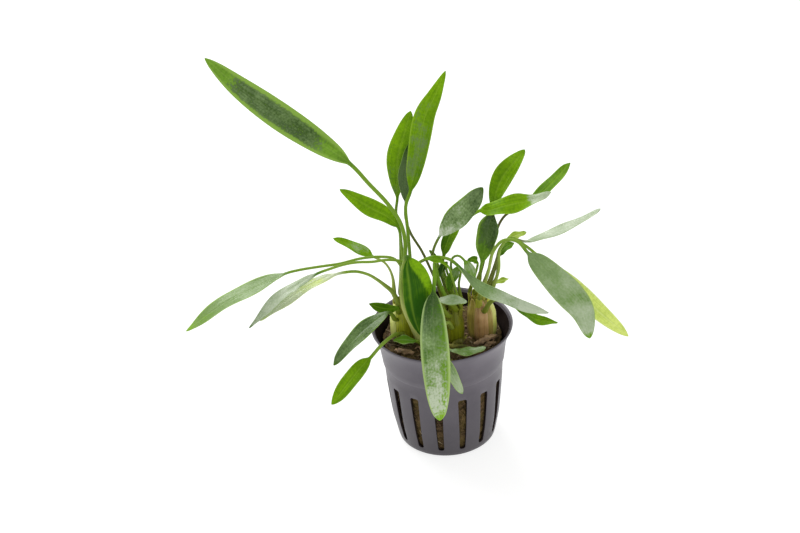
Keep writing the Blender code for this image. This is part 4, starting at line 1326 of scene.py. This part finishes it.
delete_faces(net_pot, in_slot)
shape_slots(net_pot)
print("slots in the wall:", SLOT_COUNT, "- faces left:", len(net_pot.data.polygons))

# %% Pot wall
WALL = 0.9
EDGE_RADIUS = 0.22
INSIDE_BELOW = 49.0


def finish_inside(skin):
    """Gives the inner side of the wall, below the rim's lip, its own finish, which is painted shade.
    """
    dress(skin, "pot_plastic", "pot_inside")
    radii, heights = zip(*POT_WALL)
    for face in skin.data.polygons:
        radius = math.hypot(face.center.x, face.center.y) / MM
        height = face.center.z / MM
        middle = float(np.interp(height, heights, radii)) - WALL / 2
        face.material_index = int(0.5 < height < INSIDE_BELOW and radius < middle)


apply_modifier(net_pot, "SOLIDIFY", thickness=WALL * MM, offset=1.0, use_even_offset=True)
apply_modifier(net_pot, "BEVEL", width=EDGE_RADIUS * MM, segments=2, limit_method="ANGLE",
               angle_limit=math.radians(40.0))
finish_inside(net_pot)
hand_over(net_pot, ["pot"])
print("pot faces:", len(net_pot.data.polygons), "box gap:", round(box_gap(net_pot, "pot"), 2), "mm")

# %% [markdown]
# ## Rock wool
#
# The plug is spun mineral wool: a dense felt of fine fibres, brown with water and plant dirt.
# A turned plug gives its body and noise makes it lumpy. Hundreds of fine bent fibres and some
# pale roots stand out of its top and its side, where they show through the slots: each kind is
# one curve object with a thin bevel, turned into a mesh. On top lie scraps of old leaf base and
# moss, which are short flat rods with ragged sides, made with the leaves' own helpers.

# %% Rock wool finish
WOOL_DARK = (0.018, 0.011, 0.006)
WOOL_BROWN = (0.130, 0.080, 0.042)
WOOL_OLIVE = (0.200, 0.150, 0.040)


def wool_finish():
    g = new_material("rock_wool", Roughness=0.85, IOR=1.2)
    blotches, specks = g.use(MOTTLE, Blotch=130.0, Speck=800.0)
    colour = g.mix(specks, WOOL_DARK, WOOL_BROWN)
    g.shade(Base_Color=g.mix(g.mul(blotches, 0.4), colour, WOOL_OLIVE))
    g.bump(specks, 0.8, 0.5)
    return g.material


def litter_finish(name, dark, light):
    g = new_material(name, Roughness=0.7)
    blotches, specks = g.use(MOTTLE, Blotch=210.0, Speck=900.0)
    tone = g.add(g.mul(blotches, 0.6), g.mul(specks, 0.4))
    g.shade(Base_Color=g.mix(tone, dark, light))
    g.bump(tone, 0.6, 0.3)
    return g.material


FINISH["rock_wool"] = wool_finish()
FINISH["fibre"] = litter_finish("wool_fibre", (0.030, 0.018, 0.006), (0.200, 0.125, 0.050))
FINISH["root"] = litter_finish("root", (0.110, 0.060, 0.025), (0.420, 0.340, 0.200))
FINISH["husk"] = litter_finish("husk", (0.060, 0.028, 0.010), (0.560, 0.360, 0.200))
FINISH["moss"] = litter_finish("moss", (0.060, 0.065, 0.004), (0.330, 0.300, 0.040))
print("finishes:", len(FINISH))

# %% Wool plug
WOOL_SIDES = 120
WOOL_FLOOR = 1.6
WOOL_TOP = 45.1
WOOL_WALL = [(17.6, 1.8), (18.3, 3.0), (18.7, 4.4), (19.4, 6.5), (20.0, 10.0), (20.5, 14.0),
             (20.9, 18.0), (21.2, 22.0), (21.5, 26.0), (21.8, 31.0), (21.9, 34.0), (22.7, 37.0),
             (23.3, 42.0), (23.6, 43.8)]
WOOL_RINGS = [(radius, WOOL_FLOOR) for radius in (3.0, 8.0, 12.0, 15.8)] + WOOL_WALL + [(22.6, 44.8)]
WOOL_RINGS += [(radius, WOOL_TOP)
               for radius in (20.5, 18.5, 16.5, 14.5, 12.5, 10.5, 7.5, 4.5, 1.5)]


def wool_lump(place):
    """How far the felt swells or sinks at a place in millimetres."""
    coarse = noise.noise(place * 0.16)
    fine = noise.noise(place * 0.55 + Vector((9.0, 3.0, 5.0)))
    return coarse * 1.5 + fine * 0.9


def build_plug():
    plug = extrude_rings("plug", WOOL_RINGS, WOOL_SIDES, 0.0)
    edit(plug)
    select_open_edge()
    bpy.ops.mesh.edge_face_add()
    finish_skin()
    apply_modifier(plug, "SUBSURF", levels=1, render_levels=1)
    for vertex in plug.data.vertices:
        place = vertex.co / MM
        lump = wool_lump(place)
        if place.z > 44.0:
            vertex.co.z += (lump * 0.8 - 0.2) * MM
        elif place.z > 5.0:
            flat = Vector((place.x, place.y, 0.0)).normalized()
            vertex.co += flat * (min(lump, 0.3) - 0.4) * MM
    dress(plug, "rock_wool")
    return plug


plug = build_plug()
print("faces of the plug:", len(plug.data.polygons))

# %% Fibres and roots
TOP_FIBRES = 420
SIDE_FIBRES = 330
TOP_ROOTS = 26
SIDE_ROOTS = 30
TOP_REACH = 22.0
SIDE_LOW = 4.5
SIDE_HIGH = 34.0


def any_turn(rng):
    return rng.uniform(0.0, 2.0 * math.pi)


def around(radius, turn, height):
    return Vector((radius * math.cos(turn), radius * math.sin(turn), height))


def wool_radius(height):
    radii, heights = zip(*WOOL_WALL)
    return float(np.interp(height, heights, radii))


def fibre_route(rng, on_top, length, lift):
    """Five points of one fibre that wanders over the plug's top or down its side."""
    if on_top:
        radius = math.sqrt(rng.uniform(0.02, 1.0)) * TOP_REACH
        place = around(radius, any_turn(rng), WOOL_TOP - 0.5)
        step = around(1.0, any_turn(rng), 0.0) * length / 4
    else:
        height = rng.uniform(SIDE_LOW + 1.0, SIDE_HIGH - 1.0)
        turn = any_turn(rng)
        place = around(wool_radius(height) - 0.5, turn, height)
        sideways = Vector((-math.sin(turn), math.cos(turn), 0.0))
        step = (sideways * rng.uniform(-0.8, 0.8) + Vector((0.0, 0.0, rng.uniform(-1.0, 0.6))))
        step = step.normalized() * length / 4
    points = []
    for index in range(5):
        bow = lift * math.sin(index * math.pi / 4)
        here = place + step * index
        here += Vector([rng.uniform(-0.25, 0.25) * length / 4 for _ in range(3)])
        reach = math.hypot(here.x, here.y)
        if on_top:
            here *= min(1.0, (TOP_REACH + 0.2) / max(reach, 0.1))
            here.z = WOOL_TOP - 0.4 + bow
        else:
            here.z = max(min(here.z, SIDE_HIGH), SIDE_LOW)
            ring = wool_radius(here.z) - 0.6 + min(bow, 0.7)
            here.x *= ring / reach
            here.y *= ring / reach
        points.append(here)
    return points


def build_fibres(name, finish, seed, counts, lengths, lift, thickness):
    """Many fine bent threads as one curve object with a bevel, turned into a mesh."""
    rng = random.Random(seed)
    curve = bpy.data.curves.new(name, "CURVE")
    curve.dimensions = "3D"
    curve.bevel_depth = thickness * MM
    curve.bevel_resolution = 0
    curve.use_fill_caps = True
    for on_top, count in zip((True, False), counts):
        for _ in range(count):
            points = fibre_route(rng, on_top, rng.uniform(*lengths), rng.uniform(0.2, 1.0) * lift)
            spline = curve.splines.new("POLY")
            spline.points.add(len(points) - 1)
            for point, place in zip(spline.points, points):
                point.co = (*(place * MM), 1.0)
                point.radius = rng.uniform(0.7, 1.2)
    pick(place_object(name, curve))
    bpy.ops.object.convert(target="MESH")
    threads = bpy.context.object
    dress(threads, finish)
    return threads


fibres = build_fibres("fibres", "fibre", 3, (TOP_FIBRES, SIDE_FIBRES), (4.0, 9.0), 1.6, 0.07)
roots = build_fibres("roots", "root", 8, (TOP_ROOTS, SIDE_ROOTS), (7.0, 14.0), 1.2, 0.2)
print("fibres:", TOP_FIBRES + SIDE_FIBRES, "- roots:", TOP_ROOTS + SIDE_ROOTS)

# %% Scraps on the wool
SCRAP_STATIONS = ((0.0, 0.35, 0.6), (0.15, 0.85, 1.0), (0.4, 1.05, 1.0), (0.7, 0.9, 1.0),
                  (0.9, 0.5, 0.8), (1.0, 0.15, 0.4))
SCRAP_TWIST_DEG = 25.0
SMALL_SCRAPS = 60
Husk = namedtuple("Husk", "finish points across half thick")
LITTER = [
    Husk("husk", [(-18.6, -10.6, 45.4), (-16.4, -12.8, 46.3), (-13.6, -13.6, 46.4),
                  (-10.8, -12.6, 45.4)], (0, 1, 0.5), 1.2, 0.22),
    Husk("husk", [(-20.8, -2.4, 45.3), (-20.0, -4.2, 47.2), (-18.6, -6.2, 48.0),
                  (-17.2, -7.6, 47.0)], (1, 0.5, 0.3), 0.9, 0.2),
    Husk("husk", [(11.6, -9.6, 45.6), (14.6, -9.4, 46.8), (18.0, -8.4, 47.6), (21.4, -6.2, 46.4)],
         (0, 1, 0.7), 1.2, 0.22),
    Husk("husk", [(14.8, -11.2, 45.3), (17.6, -10.6, 46.0), (20.4, -8.6, 45.5)],
         (0, 1, 0.4), 0.9, 0.2),
    Husk("moss", [(3.2, -9.6, 45.4), (5.4, -10.4, 47.2), (8.0, -10.4, 48.2), (9.4, -9.2, 49.8)],
         (0.6, 0.2, 1), 1.0, 0.25),
    Husk("moss", [(1.2, -10.2, 45.4), (3.4, -11.4, 46.6), (6.6, -11.8, 46.4), (9.6, -11.0, 45.4)],
         (0, 1, 0.6), 1.0, 0.25),
    Husk("moss", [(-3.2, -11.4, 45.3), (-5.6, -12.4, 46.2), (-8.0, -12.2, 45.3)],
         (0, 1, 0.4), 0.9, 0.2),
]


def small_scraps(rng):
    """Rows for the crumbs of leaf base and bark that lie all over the wool."""
    rows = []
    while len(rows) < SMALL_SCRAPS:
        radius = math.sqrt(rng.uniform(0.0, 1.0)) * (TOP_REACH - 1.0)
        start = around(radius, any_turn(rng), WOOL_TOP + 0.2)
        step = around(1.0, any_turn(rng), 0.0) * rng.uniform(0.6, 1.3)
        points = [start + step * index for index in range(3)]
        if max(math.hypot(point.x, point.y) for point in points) > TOP_REACH:
            continue
        points[1].z += rng.uniform(0.2, 0.8)
        kind = rng.choice(("husk", "husk", "moss", "root"))
        rows.append(Husk(kind, points, (-step.y, step.x, rng.uniform(-0.6, 0.6)),
                         rng.uniform(0.3, 0.6), 0.12))
    return rows


def build_husk(husk, index):
    """A scrap of old leaf base or moss: a short flattened rod, curled along its route."""
    route = make_route(husk.points, 0, husk.across, SCRAP_TWIST_DEG)
    total = float(route.travelled[-1])
    stations = [(share * total, husk.half * wide * RING_SWELL, husk.thick * RING_SWELL * thin)
                for share, wide, thin in SCRAP_STATIONS]
    thing, straight, distance, _, _ = smooth_rod(f"scrap_{index}", stations)
    curl = 0.45 * straight[:, 1] ** 2 / husk.half
    ragged = np.array([noise.noise(Vector(place) * 1.1 + Vector((index, 0.0, 0.0)))
                       for place in straight])
    lift = straight[:, 2] - curl + 0.35 * ragged
    wide = straight[:, 1] * (1.0 + 0.9 * ragged)
    place_vertices(thing, lay_on_route(route, distance, wide, lift))
    dress(thing, husk.finish)
    return thing


litter = LITTER + small_scraps(random.Random(21))
scraps = [build_husk(husk, index) for index, husk in enumerate(litter)]
print("scraps:", len(scraps))

# %% Wool with all that lies on it
wool = join([plug, fibres, roots] + scraps, "wool_plug")
hand_over(wool, ["rock_wool"])
print("rock wool faces:", len(wool.data.polygons))
